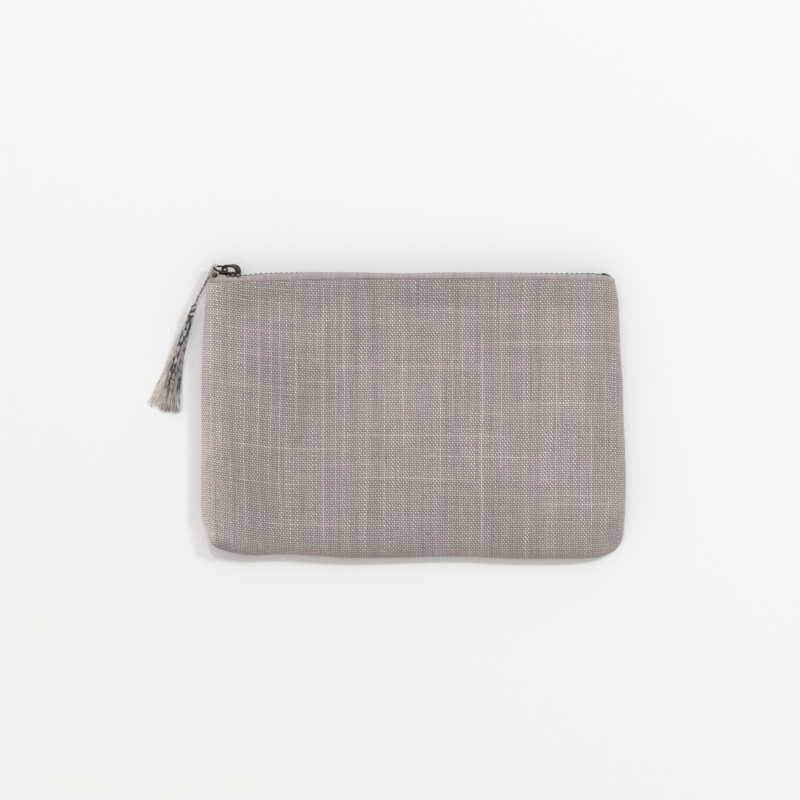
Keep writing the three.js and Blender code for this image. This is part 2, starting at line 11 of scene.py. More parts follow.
import bmesh
import bpy
import numpy as np
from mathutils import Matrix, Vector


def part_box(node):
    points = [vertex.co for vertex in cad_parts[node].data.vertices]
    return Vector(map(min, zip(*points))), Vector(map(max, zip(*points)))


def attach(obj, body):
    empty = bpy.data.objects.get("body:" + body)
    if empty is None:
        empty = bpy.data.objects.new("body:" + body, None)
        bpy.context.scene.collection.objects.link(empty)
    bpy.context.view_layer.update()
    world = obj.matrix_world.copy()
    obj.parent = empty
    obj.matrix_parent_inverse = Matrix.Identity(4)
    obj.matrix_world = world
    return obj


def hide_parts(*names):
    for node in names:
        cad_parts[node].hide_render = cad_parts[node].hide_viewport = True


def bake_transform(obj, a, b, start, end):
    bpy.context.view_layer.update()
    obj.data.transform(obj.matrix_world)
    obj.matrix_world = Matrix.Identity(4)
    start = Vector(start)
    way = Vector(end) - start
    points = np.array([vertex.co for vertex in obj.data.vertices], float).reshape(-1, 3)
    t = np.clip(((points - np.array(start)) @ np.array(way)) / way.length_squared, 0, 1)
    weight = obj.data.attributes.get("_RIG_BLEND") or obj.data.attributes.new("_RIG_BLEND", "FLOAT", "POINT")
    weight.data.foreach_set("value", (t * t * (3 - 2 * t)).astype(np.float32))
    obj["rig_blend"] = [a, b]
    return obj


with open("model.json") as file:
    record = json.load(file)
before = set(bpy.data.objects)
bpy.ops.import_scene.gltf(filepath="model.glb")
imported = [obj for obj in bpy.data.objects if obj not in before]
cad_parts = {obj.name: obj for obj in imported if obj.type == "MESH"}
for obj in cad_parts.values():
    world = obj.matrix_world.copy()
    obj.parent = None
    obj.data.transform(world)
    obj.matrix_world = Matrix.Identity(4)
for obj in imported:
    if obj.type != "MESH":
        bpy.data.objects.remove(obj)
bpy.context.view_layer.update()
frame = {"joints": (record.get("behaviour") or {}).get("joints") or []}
MM = 0.001


def box_mm(node):
    """Lowest and highest corner of a measured solid, in millimetres."""
    low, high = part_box(node)
    return np.array(low) / MM, np.array(high) / MM


def pivot_mm(joint):
    """The point that a joint turns about, in millimetres."""
    return np.array(next(j for j in frame["joints"] if j["name"] == joint)["pos_m"]) / MM


# %% [markdown]
# ## The camera
#
# The pouch lies on a white table and is seen from straight above. A long lens far away keeps the sides
# of the pouch hidden, as they are in a flat-lay picture. The lens follows from the width of table that
# the square picture shows.

# %% Camera
FIELD = 392.0            # table shown across the picture
VIEW_CENTRE = (-6.4, 5.4)
CAMERA_HEIGHT = 1200.0
CLOTH_HEIGHT = 9.0       # the level at which the field is measured

camera_data = bpy.data.cameras.new("camera")
camera_data.sensor_width = 36
camera_data.lens = camera_data.sensor_width * (CAMERA_HEIGHT - CLOTH_HEIGHT) / FIELD
camera = bpy.data.objects.new("camera", camera_data)
camera.location = (VIEW_CENTRE[0] * MM, VIEW_CENTRE[1] * MM, CAMERA_HEIGHT * MM)
bpy.context.collection.objects.link(camera)
bpy.context.scene.camera = camera
bpy.context.scene.view_settings.view_transform = "Standard"
print("lens", round(camera_data.lens, 1), "mm")

# %% [markdown]
# ## Grids into meshes
#
# Every new piece is a grid of points, worked out by a formula for the whole grid at once. A tube is a
# grid too: one direction runs along it and the other round it. Its last column lies on its first, and
# merging the doubles closes it. The grid also gives each point its place on the flat cloth or along the
# yarn, in millimetres, which the finishes use for their weave and twist.

# %% Meshes from grids
def grid_quads(rows, columns):
    """Corner numbers of the quads between neighbouring rows and columns of a grid."""
    row, column = np.meshgrid(np.arange(rows - 1), np.arange(columns - 1), indexing="ij")
    first = row * columns + column
    return np.stack([first, first + 1, first + columns + 1, first + columns], axis=-1).reshape(-1, 4)


def mesh_piece(name, finish, *patches, closed=True, sharp=None):
    """One object from patches (points, flat places, tone): each is a grid, or a stack of equal grids."""
    points, flats, tones, quads, start = [], [], [], [], 0
    for grid, flat, tone in patches:
        grid = grid.reshape(-1, *grid.shape[-3:])
        count, rows, columns = grid.shape[:3]
        size = rows * columns
        starts = start + size * np.arange(count)[:, None, None]
        quads.append((grid_quads(rows, columns)[None] + starts).reshape(-1, 4))
        points.append(grid.reshape(-1, 3))
        flats.append(np.broadcast_to(flat, (*grid.shape[:3], 2)).reshape(-1, 2))
        tones.append(np.broadcast_to(tone, grid.shape[:3]).reshape(-1))
        start += count * size
    points, flats, tones = np.concatenate(points), np.concatenate(flats), np.concatenate(tones)
    quads = np.concatenate(quads)
    mesh = bpy.data.meshes.new(name)
    mesh.from_pydata(points * MM, [], quads)
    mesh.uv_layers.new(name="flat").data.foreach_set("uv", flats[quads.ravel()].astype(np.float32).ravel())
    mesh.attributes.new("tone", "FLOAT", "POINT").data.foreach_set("value", tones.astype(np.float32))
    shape = bmesh.new()
    shape.from_mesh(mesh)
    bmesh.ops.remove_doubles(shape, verts=shape.verts, dist=2e-6)
    bmesh.ops.dissolve_degenerate(shape, edges=shape.edges, dist=1e-7)
    if closed:
        bmesh.ops.recalc_face_normals(shape, faces=shape.faces)
    shape.to_mesh(mesh)
    shape.free()
    mesh.materials.append(finish)
    mesh.shade_smooth()
    if sharp:
        mesh.set_sharp_from_angle(angle=np.radians(sharp))
    piece = bpy.data.objects.new(name, mesh)
    bpy.context.collection.objects.link(piece)
    print(name, len(mesh.polygons), "faces")
    return piece


print("a grid of 3 by 4 points has", len(grid_quads(3, 4)), "quads")

# %% [markdown]
# ## Curves and tubes
#
# Cords, yarns and the bead of the zip are all long and round. A curve object with a bevel could draw
# them, but the flat place of each point couldn't be set. So a circle is carried along a path instead. The
# other helpers give soft steps, smooth curves through measured points, and lengths along rows of points.

# %% Curves and tubes
UP = np.array([0.0, 0.0, 1.0])


def unit(vectors):
    """Each vector divided by its length."""
    return vectors / np.maximum(np.linalg.norm(vectors, axis=-1, keepdims=True), 1e-12)


def ease(t):
    """A smooth step: 3t² - 2t³ between 0 and 1."""
    t = np.clip(t, 0, 1)
    return t * t * (3 - 2 * t)


def signed_power(value, power):
    """A power of the value's size that keeps its sign."""
    return np.sign(value) * np.abs(value) ** power


def run_length(points, axis=-2):
    """Length along rows of points up to each point, in the direction of the given axis."""
    axis = axis % points.ndim
    steps = np.linalg.norm(np.diff(points, axis=axis), axis=-1)
    return np.concatenate([0 * np.take(steps, [0], axis=axis), np.cumsum(steps, axis=axis)], axis=axis)


def ends_twice(values):
    """The first and the last value of each row once more, for the closed ends of a tube."""
    return np.concatenate([values[..., :1], values, values[..., -1:]], axis=-1)


def smooth_curve(x, knots):
    """A curve through (place, value) pairs: cubic pieces whose slope at a pair follows its neighbours."""
    places, values = np.array(knots, float).T
    slopes = np.gradient(values, places)
    i = np.clip(np.searchsorted(places, x) - 1, 0, len(places) - 2)
    h = places[i + 1] - places[i]
    t = np.clip((x - places[i]) / h, 0, 1)
    return ((2 * t**3 - 3 * t**2 + 1) * values[i] + (t**3 - 2 * t**2 + t) * h * slopes[i]
            + (3 * t**2 - 2 * t**3) * values[i + 1] + (t**3 - t**2) * h * slopes[i + 1])


def smooth_path(points, count):
    """A curve through points: each coordinate is a smooth curve of the straight length between them."""
    points = np.array(points, float)
    along = run_length(points)
    s = np.linspace(0, along[-1], count)
    return np.stack([smooth_curve(s, list(zip(along, part))) for part in points.T], axis=-1)


def path_frames(path):
    """Directions along, level across and upright on each point of paths that don't stand straight up."""
    along = unit(np.gradient(path, axis=-2))
    across = unit(np.cross(along, UP))
    return along, across, np.cross(across, along)


def tube(path, radius, sides=8):
    """Circles carried along paths: path + radius · (cos a · across + sin a · up), closed to a point at
    both ends. The flat place is the length along the path and the length round the circle."""
    _, across, up = path_frames(path)
    a = np.linspace(0, 2 * np.pi, sides + 1)[:, None]
    radius = np.broadcast_to(radius, path.shape[:-1])
    ring = np.cos(a) * across[..., None, :] + np.sin(a) * up[..., None, :]
    rings = path[..., None, :] + radius[..., None, None] * ring
    end_shape = (*path.shape[:-2], 1, sides + 1, 3)
    first, last = (np.broadcast_to(path[..., k, None, None, :], end_shape) for k in (0, -1))
    grid = np.concatenate([first, rings, last], axis=-3)
    length = ends_twice(run_length(path))
    flat = np.stack(np.broadcast_arrays(length[..., None], a[:, 0] * np.mean(radius)), axis=-1)
    return grid, flat


print("half way up a soft step is", ease(0.5))

# %% [markdown]
# ## Colours and nodes
#
# Colours are written as the hex values that a screen shows. Blender works in linear light, so one
# function turns them. One more small function adds a node, sets it up and links what comes into it,
# which keeps each finish short enough to read as a recipe.

# %% Finish helpers
def colour(hex_value):
    """A screen colour as linear red, green, blue and alpha."""
    screen = np.array([int(hex_value[i:i + 2], 16) for i in (1, 3, 5)]) / 255
    linear = np.where(screen <= 0.04045, screen / 12.92, ((screen + 0.055) / 1.055) ** 2.4)
    return (*linear.tolist(), 1.0)


def add(tree, kind, inputs=None, out=0, **settings):
    """Adds a node, applies its settings, fills or links its inputs, and gives one of its outputs."""
    node = tree.nodes.new("ShaderNode" + kind)
    for key, value in settings.items():
        setattr(node, key, value)
    for key, value in (inputs or {}).items():
        if isinstance(value, bpy.types.NodeSocket):
            tree.links.new(value, node.inputs[key])
        else:
            node.inputs[key].default_value = value
    return node.outputs[out]


def finish(name, **sockets):
    """A new material whose principled shader has the given plain values, its node tree and that shader."""
    material = bpy.data.materials.new(name)
    material.use_nodes = True
    tree = material.node_tree
    shader = tree.nodes["Principled BSDF"]
    for key, value in sockets.items():
        shader.inputs[key.replace("_", " ")].default_value = value
    return material, tree, shader


print("white is", colour("#ffffff"))

# %% [markdown]
# ## Woven cloth
#
# Linen here is a plain weave: each warp thread passes over one weft thread and under the next, so the
# top threads form a checkerboard. Two sine arches per crossing give the roundness of the threads. A
# slow noise bends the threads, a number per thread makes some paler, and a stretched noise along each
# thread makes the thick and thin places called slubs. The longest pale threads are listed one by one.

# %% Weave pattern
WANDER = ((60, 2.2), (5, 0.42))        # how long the bends of the threads are, and their share of the drift
ARCH_POWER = 0.6                       # under 1 gives full threads with narrow gaps
DIP = 0.6                              # how far a thread dives at the ends of its crossing
SLUBS = ((0.56, 0.80, 1.1), (0.44, 0.24, -0.7))     # thick and thin places: noise from and to, change
SLUB_LENGTH = 38.0
FADE_INSIDE, FADE_OUTSIDE = 9.0, 5.0   # how a pale thread fades on both sides of its end


def plain_weave(tree, warp_pitch, weft_pitch, drift, uneven, slant=0.0, pale_threads=()):
    """Height and lightness of a plain weave. Height is the sine arch across the top thread times a
    flatter arch along it, so a thread dives at both ends of its crossing. Slant turns each crossing a
    little, as the twist of the yarn does. Lightness is 1 plus a random part per thread and per crossing,
    plus thick and thin places. A pale thread is (direction, place, from, to, lift). It gives a line of
    its own, with the arch across the thread as its profile, since it shows through, and soft ends."""
    flat = add(tree, "UVMap", uv_map="flat")
    place = flat
    for wave, share in WANDER:
        wander = add(tree, "TexNoise", {"Vector": flat, "Scale": 1 / wave, "Detail": 1.0}, out="Color",
                     noise_dimensions="2D")
        wander = add(tree, "VectorMath", {0: wander, 1: (0.5, 0.5, 0)}, operation="SUBTRACT")
        place = add(tree, "VectorMath", {0: wander, 1: (drift * share, drift * share, 0), 2: place},
                    operation="MULTIPLY_ADD")
    cells = add(tree, "VectorMath", {0: place, 1: (1 / warp_pitch, 1 / weft_pitch, 0)},
                operation="MULTIPLY")
    number = add(tree, "VectorMath", {0: cells}, operation="FLOOR")
    thread = add(tree, "SeparateXYZ", {0: number}).node.outputs
    within = add(tree, "VectorMath", {0: cells}, operation="FRACTION")
    swapped = add(tree, "SeparateXYZ", {0: within}).node.outputs
    swapped = add(tree, "CombineXYZ", {0: swapped[1], 1: swapped[0], 2: 0.0})
    swapped = add(tree, "VectorMath", {0: swapped, 1: (0.5, 0.5, 0)}, operation="SUBTRACT")
    within = add(tree, "VectorMath", {0: swapped, 1: (slant, slant, 0), 2: within},
                 operation="MULTIPLY_ADD")
    turned = add(tree, "VectorMath", {0: within, 1: (np.pi, np.pi, 0)}, operation="MULTIPLY")
    arch = add(tree, "VectorMath", {0: turned}, operation="SINE")
    arch = add(tree, "VectorMath", {0: arch, 1: (0, 0, 0)}, operation="MAXIMUM")
    arch = add(tree, "SeparateXYZ", {0: arch}).node.outputs
    spot = add(tree, "SeparateXYZ", {0: flat}).node.outputs
    both = add(tree, "Math", {0: thread[0], 1: thread[1]}, operation="ADD")
    weft_on_top = add(tree, "Math", {0: both, 1: 2.0}, operation="FLOORED_MODULO")
    crossing = add(tree, "TexWhiteNoise", {"Vector": number}, noise_dimensions="2D")
    crossing = add(tree, "Math", {0: crossing, 1: 0.5 * uneven, 2: -0.25 * uneven},
                   operation="MULTIPLY_ADD")
    heights, lights, line_light = [], [], 0.0
    for across, along, seed, streak in ((0, 1, 3.1, 0.95), (1, 0, 57.7, 0.65)):
        round_over = add(tree, "Math", {0: arch[across], 1: ARCH_POWER}, operation="POWER")
        dip = add(tree, "Math", {0: arch[along], 1: ARCH_POWER}, operation="POWER")
        dip = add(tree, "Math", {0: dip, 1: DIP, 2: 1 - DIP}, operation="MULTIPLY_ADD")
        heights.append(add(tree, "Math", {0: round_over, 1: dip}, operation="MULTIPLY"))
        own = add(tree, "Math", {0: thread[across], 1: seed}, operation="ADD")
        own = add(tree, "TexWhiteNoise", {"W": own}, noise_dimensions="1D")
        light = add(tree, "Math", {0: own, 1: streak * uneven, 2: 1 - 0.5 * streak * uneven},
                    operation="MULTIPLY_ADD")
        own_line = add(tree, "Math", {0: thread[across], 1: 5.3, 2: seed}, operation="MULTIPLY_ADD")
        reach = add(tree, "Math", {0: spot[along], 1: 1 / SLUB_LENGTH}, operation="MULTIPLY")
        line = add(tree, "CombineXYZ", {0: own_line, 1: reach, 2: 0.0})
        swell = add(tree, "TexNoise", {"Vector": line, "Scale": 1.0, "Detail": 2.0}, noise_dimensions="2D")
        for low, high, change in SLUBS:
            slub = add(tree, "MapRange", {0: swell, 1: low, 2: high, 3: 0.0, 4: change * streak * uneven},
                       interpolation_type="SMOOTHSTEP")
            light = add(tree, "Math", {0: light, 1: slub}, operation="ADD")
        lights.append(add(tree, "Math", {0: light, 1: crossing}, operation="ADD"))
        for direction, middle, low, high, lift in pale_threads:
            if direction == across:
                chosen = float(np.floor(middle / (warp_pitch, weft_pitch)[across]))
                here = add(tree, "Math", {0: thread[across], 1: chosen, 2: 0.5}, operation="COMPARE")
                half = (high - low) / 2
                inside = add(tree, "Math", {0: spot[along], 1: (low + high) / 2}, operation="SUBTRACT")
                inside = add(tree, "Math", {0: inside}, operation="ABSOLUTE")
                fade = {0: inside, 1: half - FADE_INSIDE, 2: half + FADE_OUTSIDE, 3: 1.0, 4: 0.0}
                inside = add(tree, "MapRange", fade, interpolation_type="SMOOTHSTEP")
                here = add(tree, "Math", {0: here, 1: inside}, operation="MULTIPLY")
                profile = add(tree, "Math", {0: arch[across], 1: lift}, operation="MULTIPLY")
                line_light = add(tree, "Math", {0: here, 1: profile, 2: line_light},
                                 operation="MULTIPLY_ADD")
    height = add(tree, "Mix", {0: weft_on_top, 2: heights[0], 3: heights[1]})
    return flat, weft_on_top, height, lights, line_light


print("threads wander over", [wave for wave, _ in WANDER], "mm")

# %% [markdown]
# ## Linen
#
# The pouch is sewn from washed linen. A picture of cloth could be laid on it, but a weave of nodes stays
# sharp from near, and its painted light and shade, its dye and its bent threads are plain numbers. The
# warp came out of the dye paler than the weft, and the gaps between the threads get painted shade.

# %% Linen
# Washed linen, plain woven from slubbed yarn: a matt grainy cloth, with pale dots where a warp thread
# is on top, darker weft between them, and single pale threads that run for a hand's width. The tone
# of each point holds painted light along the rolled side edges, and painted light and shade in soft
# patches. The dye has taken unevenly, a little pinker here and yellower there, in streaks along the warp.
WARP_PITCH, WEFT_PITCH = 0.85, 1.10
WARP_DYE, WEFT_DYE = 1.31, 0.90         # how pale each set of threads came out of the dye
PALE_THREADS = [         # direction (0 is warp), place, from, to, lift
    (0, 33.6, -64, 42, 0.55), (0, -43.8, -66, 60, 0.44), (0, -33.8, -24, 58, 0.30),
    (0, 24.5, 3, 54, 0.32), (0, -75.5, -20, 58, 0.37), (0, 86.7, -58, -1, 0.35),
    (0, 43.1, -12, 57, 0.32), (0, -22.2, -60, 58, 0.30), (0, -64.7, -43, 58, 0.33),
    (0, -4.9, -20, 40, 0.30), (0, -57.3, -10, 60, 0.32), (0, -82.2, -60, 52, 0.30),
    (0, -37.5, -60, 55, 0.26), (0, 13.3, -40, 40, 0.32), (0, 18.9, -10, 55, 0.25),
    (0, -69.6, -20, 56, 0.28), (0, 94.0, -40, 30, 0.25), (0, 70.0, -60, 30, 0.25),
    (0, 53.9, -4, 57, 0.23), (0, -14.0, -62, 10, 0.21), (1, -32.3, -25, 24, 0.28),
    (1, -11.3, -41, 47, 0.25), (1, -21.1, 2, 60, 0.27), (1, -1.0, 9, 48, 0.21), (1, 34.8, 40, 98, 0.29),
    (1, 22.5, -46, 25, 0.19), (1, -26.0, -46, -15, 0.21), (1, -44.1, 60, 100, 0.25),
    (1, -55.6, -76, 0, 0.25), (1, 4.4, 50, 98, 0.21), (1, 38.2, -92, -40, 0.27),
    (1, 25.9, -100, -48, 0.25), (1, -18.1, -90, -36, 0.27), (1, -40.0, 20, 90, 0.15),
    (1, 50.0, -20, 60, 0.15), (1, 12.0, -98, -56, 0.21), (1, -36.0, -96, -50, 0.21),
    (1, 52.0, -96, -52, 0.19),
]
linen, tree, shader = finish("washed_linen", Roughness=0.92, Sheen_Weight=0.6, Sheen_Roughness=0.35)
shader.inputs["Sheen Tint"].default_value = colour("#f2e6e0")
flat, weft_on_top, height, lights, line_light = plain_weave(
    tree, WARP_PITCH, WEFT_PITCH, drift=1.0, uneven=0.26, slant=0.4, pale_threads=PALE_THREADS)
warp_light = add(tree, "Math", {0: lights[0], 1: WARP_DYE}, operation="MULTIPLY")
weft_light = add(tree, "Math", {0: lights[1], 1: WEFT_DYE}, operation="MULTIPLY")
light = add(tree, "Mix", {0: weft_on_top, 2: warp_light, 3: weft_light})
# painted shade in the gaps between the threads, darker where the threads lie low
gap_shade = add(tree, "MapRange", {0: height, 1: 0.14, 2: 0.84, 3: -0.18, 4: 1.35})
mottle = add(tree, "TexNoise", {"Vector": flat, "Scale": 1 / 30, "Detail": 3.0}, noise_dimensions="2D")
mottle = add(tree, "MapRange", {0: mottle, 1: 0.25, 2: 0.75, 3: 0.93, 4: 1.07})
light = add(tree, "Math", {0: light, 1: gap_shade}, operation="MULTIPLY")
light = add(tree, "Math", {0: light, 1: mottle, 2: line_light}, operation="MULTIPLY_ADD")
# the tone of each point: painted light along the side edges, painted light and shade in patches
painted_light_and_shade = add(tree, "Attribute", out="Fac", attribute_name="tone")
light = add(tree, "Math", {0: light, 1: painted_light_and_shade}, operation="MULTIPLY")
streaks = add(tree, "VectorMath", {0: flat, 1: (1 / 9, 1 / 45, 0)}, operation="MULTIPLY")
streaks = add(tree, "TexNoise", {"Vector": streaks, "Scale": 1.0, "Detail": 2.0}, noise_dimensions="2D")
streaks = add(tree, "MapRange", {0: streaks, 1: 0.35, 2: 0.65, 3: 0.0, 4: 1.0})
dye = add(tree, "Mix", {0: streaks, 6: colour("#a99f9e"), 7: colour("#a8a09b")}, out=2, data_type="RGBA")
tree.links.new(add(tree, "VectorMath", {0: dye, "Scale": light}, operation="SCALE"),
               shader.inputs["Base Color"])
tree.links.new(add(tree, "Bump", {"Height": height, "Strength": 0.8, "Distance": 0.16 * MM}),
               shader.inputs["Normal"])
print(linen.name, len(tree.nodes), "nodes")

# %% [markdown]
# ## Lining cotton and zip tape
#
# The lining is a thin smooth cotton, and the zip's tape is a dense band of polyester. Little of them
# shows, so plain colours could do, but the tape's edge is seen all along the mouth. Both are the same
# weave with other spacings, so one function makes the two.

# %% Cotton lining and zip tape
def smooth_cloth(name, hex_value, weave, shades, bump, **sockets):
    """A dense cloth: one colour, made lighter or darker by thread, by painted shade between the threads that
    follows their height from the first to the second shade, and by each point's tone. Bump is its strength and
    its depth."""
    cloth, tree, shader = finish(name, **sockets)
    _, weft_on_top, height, lights, _ = plain_weave(tree, *weave)
    light = add(tree, "Mix", {0: weft_on_top, 2: lights[0], 3: lights[1]})
    # painted shade in the gaps between the threads
    shade = add(tree, "MapRange", {0: height, 1: 0.15, 2: 0.95, 3: shades[0], 4: shades[1]})
    light = add(tree, "Math", {0: light, 1: shade}, operation="MULTIPLY")
    tone = add(tree, "Attribute", out="Fac", attribute_name="tone")
    light = add(tree, "Math", {0: light, 1: tone}, operation="MULTIPLY")
    tree.links.new(add(tree, "VectorMath", {0: colour(hex_value)[:3], "Scale": light}, operation="SCALE"),
                   shader.inputs["Base Color"])
    tree.links.new(add(tree, "Bump", {"Height": height, "Strength": bump[0], "Distance": bump[1] * MM}),
                   shader.inputs["Normal"])
    return cloth


# Cotton poplin: a smooth pale cloth, its fine threads drawn at about twice their real spacing to show.
cotton = smooth_cloth("cotton_poplin", "#d6cec3", (0.5, 0.55, 0.3, 0.08), (0.82, 1.05), (0.4, 0.06),
                      Roughness=0.9, Sheen_Weight=0.1)
# Polyester zip tape: a dense narrow weave, smoother and a little paler than the linen, with faint ribs.
# Its tone holds painted shade in the crease where the linen's fold lies on it.
tape = smooth_cloth("polyester_zip_tape", "#aea6a4", (1.05, 0.75, 1.2, 0.24), (0.85, 1.06), (0.5, 0.07),
                    Roughness=0.78, Sheen_Weight=0.15)
print(cotton.name, tape.name)

# %% [markdown]
# ## Metal
#
# The slider, its ring, the stops and the teeth are brass, blackened in a bath and then tumbled, so the
# dark coat is rubbed thin on the high places. A noise shows the patchy coat, and the shader's own gloss
# gives the bright lines. One plain dark metal would be simpler, but it looks like plastic at this size.
# The teeth have a paler coat, because they rub on each other.

# %% Blackened brass
def blackened(name, coat, rubbed, roughness):
    """A patchy dark coat on brass: the colour goes from coat to rubbed by a noise of 1.4 mm patches."""
    metal, tree, shader = finish(name, Metallic=0.85)
    place = add(tree, "TexCoord", out="Object")
    patches = add(tree, "TexNoise", {"Vector": place, "Scale": 1 / (1.4 * MM), "Detail": 3.0})
    patches = add(tree, "MapRange", {0: patches, 1: 0.42, 2: 0.70, 3: 0.0, 4: 1.0})
    tree.links.new(add(tree, "Mix", {0: patches, 6: colour(coat), 7: colour(rubbed)}, out=2,
                       data_type="RGBA"), shader.inputs["Base Color"])
    tree.links.new(add(tree, "MapRange", {0: patches, 1: 0.0, 2: 1.0, 3: roughness, 4: roughness - 0.12}),
                   shader.inputs["Roughness"])
    scratches = add(tree, "TexNoise", {"Vector": place, "Scale": 1 / (0.35 * MM), "Detail": 2.0})
    tree.links.new(add(tree, "Bump", {"Height": scratches, "Strength": 0.25, "Distance": 0.03 * MM}),
                   shader.inputs["Normal"])
    return metal


slider_metal = blackened("blackened_brass", "#2a2620", "#6b6154", 0.38)
tooth_metal = blackened("rubbed_blackened_brass", "#3d3934", "#7a7267", 0.45)
print(slider_metal.name, tooth_metal.name)

# %% [markdown]
# ## Yarn
#
# Cord and tassel are spun yarn. Each point carries a tone from 0, charcoal, to 1, the palest shade, so
# one finish serves plies of different colours. Fine streaks follow the yarn's own length.

# %% Spun yarn
def spun(name, dark, pale):
    """Spun fibre: colour from dark to pale by the tone, streaked by a noise 0.15 mm wide and 2 mm long."""
    yarn, tree, shader = finish(name, Roughness=0.9, Sheen_Weight=0.2)
    tone = add(tree, "Attribute", out="Fac", attribute_name="tone")
    flat = add(tree, "UVMap", uv_map="flat")
    lengthwise = add(tree, "VectorMath", {0: flat, 1: (1 / 2.0, 1 / 0.15, 0)}, operation="MULTIPLY")
    fibres = add(tree, "TexNoise", {"Vector": lengthwise, "Scale": 1.0, "Detail": 2.0},
                 noise_dimensions="2D")
    shade = add(tree, "MapRange", {0: fibres, 1: 0.25, 2: 0.75, 3: 0.78, 4: 1.18})
    plain = add(tree, "Mix", {0: tone, 6: colour(dark), 7: colour(pale)}, out=2, data_type="RGBA")
    tree.links.new(add(tree, "VectorMath", {0: plain, "Scale": shade}, operation="SCALE"),
                   shader.inputs["Base Color"])
    tree.links.new(add(tree, "Bump", {"Height": fibres, "Strength": 0.6, "Distance": 0.05 * MM}),
                   shader.inputs["Normal"])
    return yarn


grey_yarn = spun("two_tone_cotton_yarn", "#383539", "#d6cec9")
beige_yarn = spun("beige_cotton_yarn", "#80736c", "#eddfd6")
print(grey_yarn.name, beige_yarn.name)

# %% [markdown]
# ## The tassel's cord
#
# A thin cord of two plies, one charcoal and one pale, is looped through the zip's ring and runs down
# to the table beside the pouch. It goes through the bound head of the tassel and ends among the skirt's
# yarns, so it never looks cut off. Each ply is a tube wound round the cord's path, half a turn apart. A
# striped finish would do from afar, but wound plies also give the cord its notched edge.

# %% Cord path
CORD_DIAMETER = 1.0
CORD_TWIST = 4.2         # length of one full turn of the plies
ring_far = pivot_mm("tassel_trail")
CORD_ROUTE = [           # offsets from the ring's far end, with the height over the table
    (0, 0, 6.2), (-3, -5.6, 6.2), (-4.3, -8.1, 6.15), (-5.6, -10.7, 6.1), (-7, -13.2, 6.0),
    (-8.3, -15.7, 5.8), (-9.3, -18.1, 5.5), (-11.1, -22.7, 4.7), (-12.6, -27.0, 3.8), (-13.9, -31.4, 3.0),
    (-15.1, -35.8, 2.3), (-16.1, -40.2, 1.8), (-16.9, -44.6, 1.5), (-17.6, -49.0, 1.3),
    (-18.1, -53.4, 1.1), (-18.5, -57.8, 1.0),
]
cord_points = np.array([(ring_far[0] + x, ring_far[1] + y, z) for x, y, z in CORD_ROUTE])
cord_path = smooth_path(cord_points, 260)
cord_length = run_length(cord_path)[-1]
print("cord length", round(cord_length, 1), "mm")


def plied(path, thick, twist, start_angle=0.0, loosen=0.0, turns=(0, np.pi)):
    """Ply paths round each path: path + offset · (cos a · across + sin a · up), where the angle a grows
    by a full turn per twist of length, and each ply starts at its own turn. The offset is a quarter of the
    thickness, and grows along the path by the share given as loosen."""
    _, across, up = path_frames(path)
    length = run_length(path)
    share = length / length[..., -1:]
    offset = thick / 4 * (1 + loosen * share**3)
    angle = 2 * np.pi * length / twist + start_angle
    return [path + offset[..., None] * (np.cos(angle + turn)[..., None] * across
                                        + np.sin(angle + turn)[..., None] * up) for turn in turns]


# %% Cord
plies = plied(cord_path, 1.2 * CORD_DIAMETER, CORD_TWIST)
way = np.linspace(0, cord_length, 262)[:, None]
undyed = 1 - ease((way - 5) / 2)         # the part inside the loop is the pale yarn
cord = mesh_piece("tassel_cord_twisted", grey_yarn,
                  *[(*tube(ply, 0.34 * CORD_DIAMETER, 8), tone + (0.95 - tone) * undyed)
                    for ply, tone in zip(plies, (0.24, 0.62))])

# %% [markdown]
# ## Loop and knot
#
# The cord's end is folded round the ring's wire and tied in one small overhand knot. The loop is a
# slim ellipse of the same two plies. The knot is a short thick tube on a trefoil curve, which is the
# curve of an overhand knot with its ends joined. A ball could pass for it, but crossing strands catch
# the light as a knot does.

# %% Loop and knot
KNOT_FROM_RING, KNOT_SIZE = 6.2, 0.27
LOOP_MIDDLE, LOOP_HALF_LENGTH, LOOP_HALF_WIDTH, LOOP_LIFT = 2.3, 3.6, 1.05, 0.35
fall = unit(cord_points[1] - cord_points[0])
beside = unit(np.cross(fall, UP))
over = np.cross(beside, fall)
a = np.linspace(0.04, 2 * np.pi - 0.04, 90)[:, None]
loop_path = (ring_far + fall * (LOOP_MIDDLE + LOOP_HALF_LENGTH * np.cos(a))
             + beside * LOOP_HALF_WIDTH * np.sin(a) + over * LOOP_LIFT * np.cos(a / 2))
plies = plied(loop_path, 0.8, CORD_TWIST)
loop = mesh_piece("cord_loop_twisted", beige_yarn,
                  *[(*tube(ply, 0.27, 8), tone) for ply, tone in zip(plies, (0.7, 0.95))])
knot_centre = ring_far + fall * KNOT_FROM_RING
a = np.linspace(0, 2 * np.pi, 97)[:, None]
trefoil = (fall * (np.sin(a) + 2 * np.sin(2 * a)) + beside * (np.cos(a) - 2 * np.cos(2 * a))
           - over * 1.2 * np.sin(3 * a))
plies = plied(knot_centre + KNOT_SIZE * trefoil, 0.7, 2.3)
knot = mesh_piece("cord_knot_tied", grey_yarn,
                  *[(*tube(ply, 0.21, 7), tone) for ply, tone in zip(plies, (0.45, 0.9))])

# %% [markdown]
# ## The tassel's head and skirt
#
# Below the cord the yarns are twisted together for a few millimetres and then fall open. On the
# right are plied strands of pale grey with charcoal flecks, which come undone into a fringe at the bottom.
# On the left are many fine beige strands, some with darker tips. A stack of paths makes each group at
# once: every strand goes from its root in the twist to its own tip on the table, with a little bow and
# waviness. Hair could do that too, but tubes are meshes from the start and can be exported as they are.

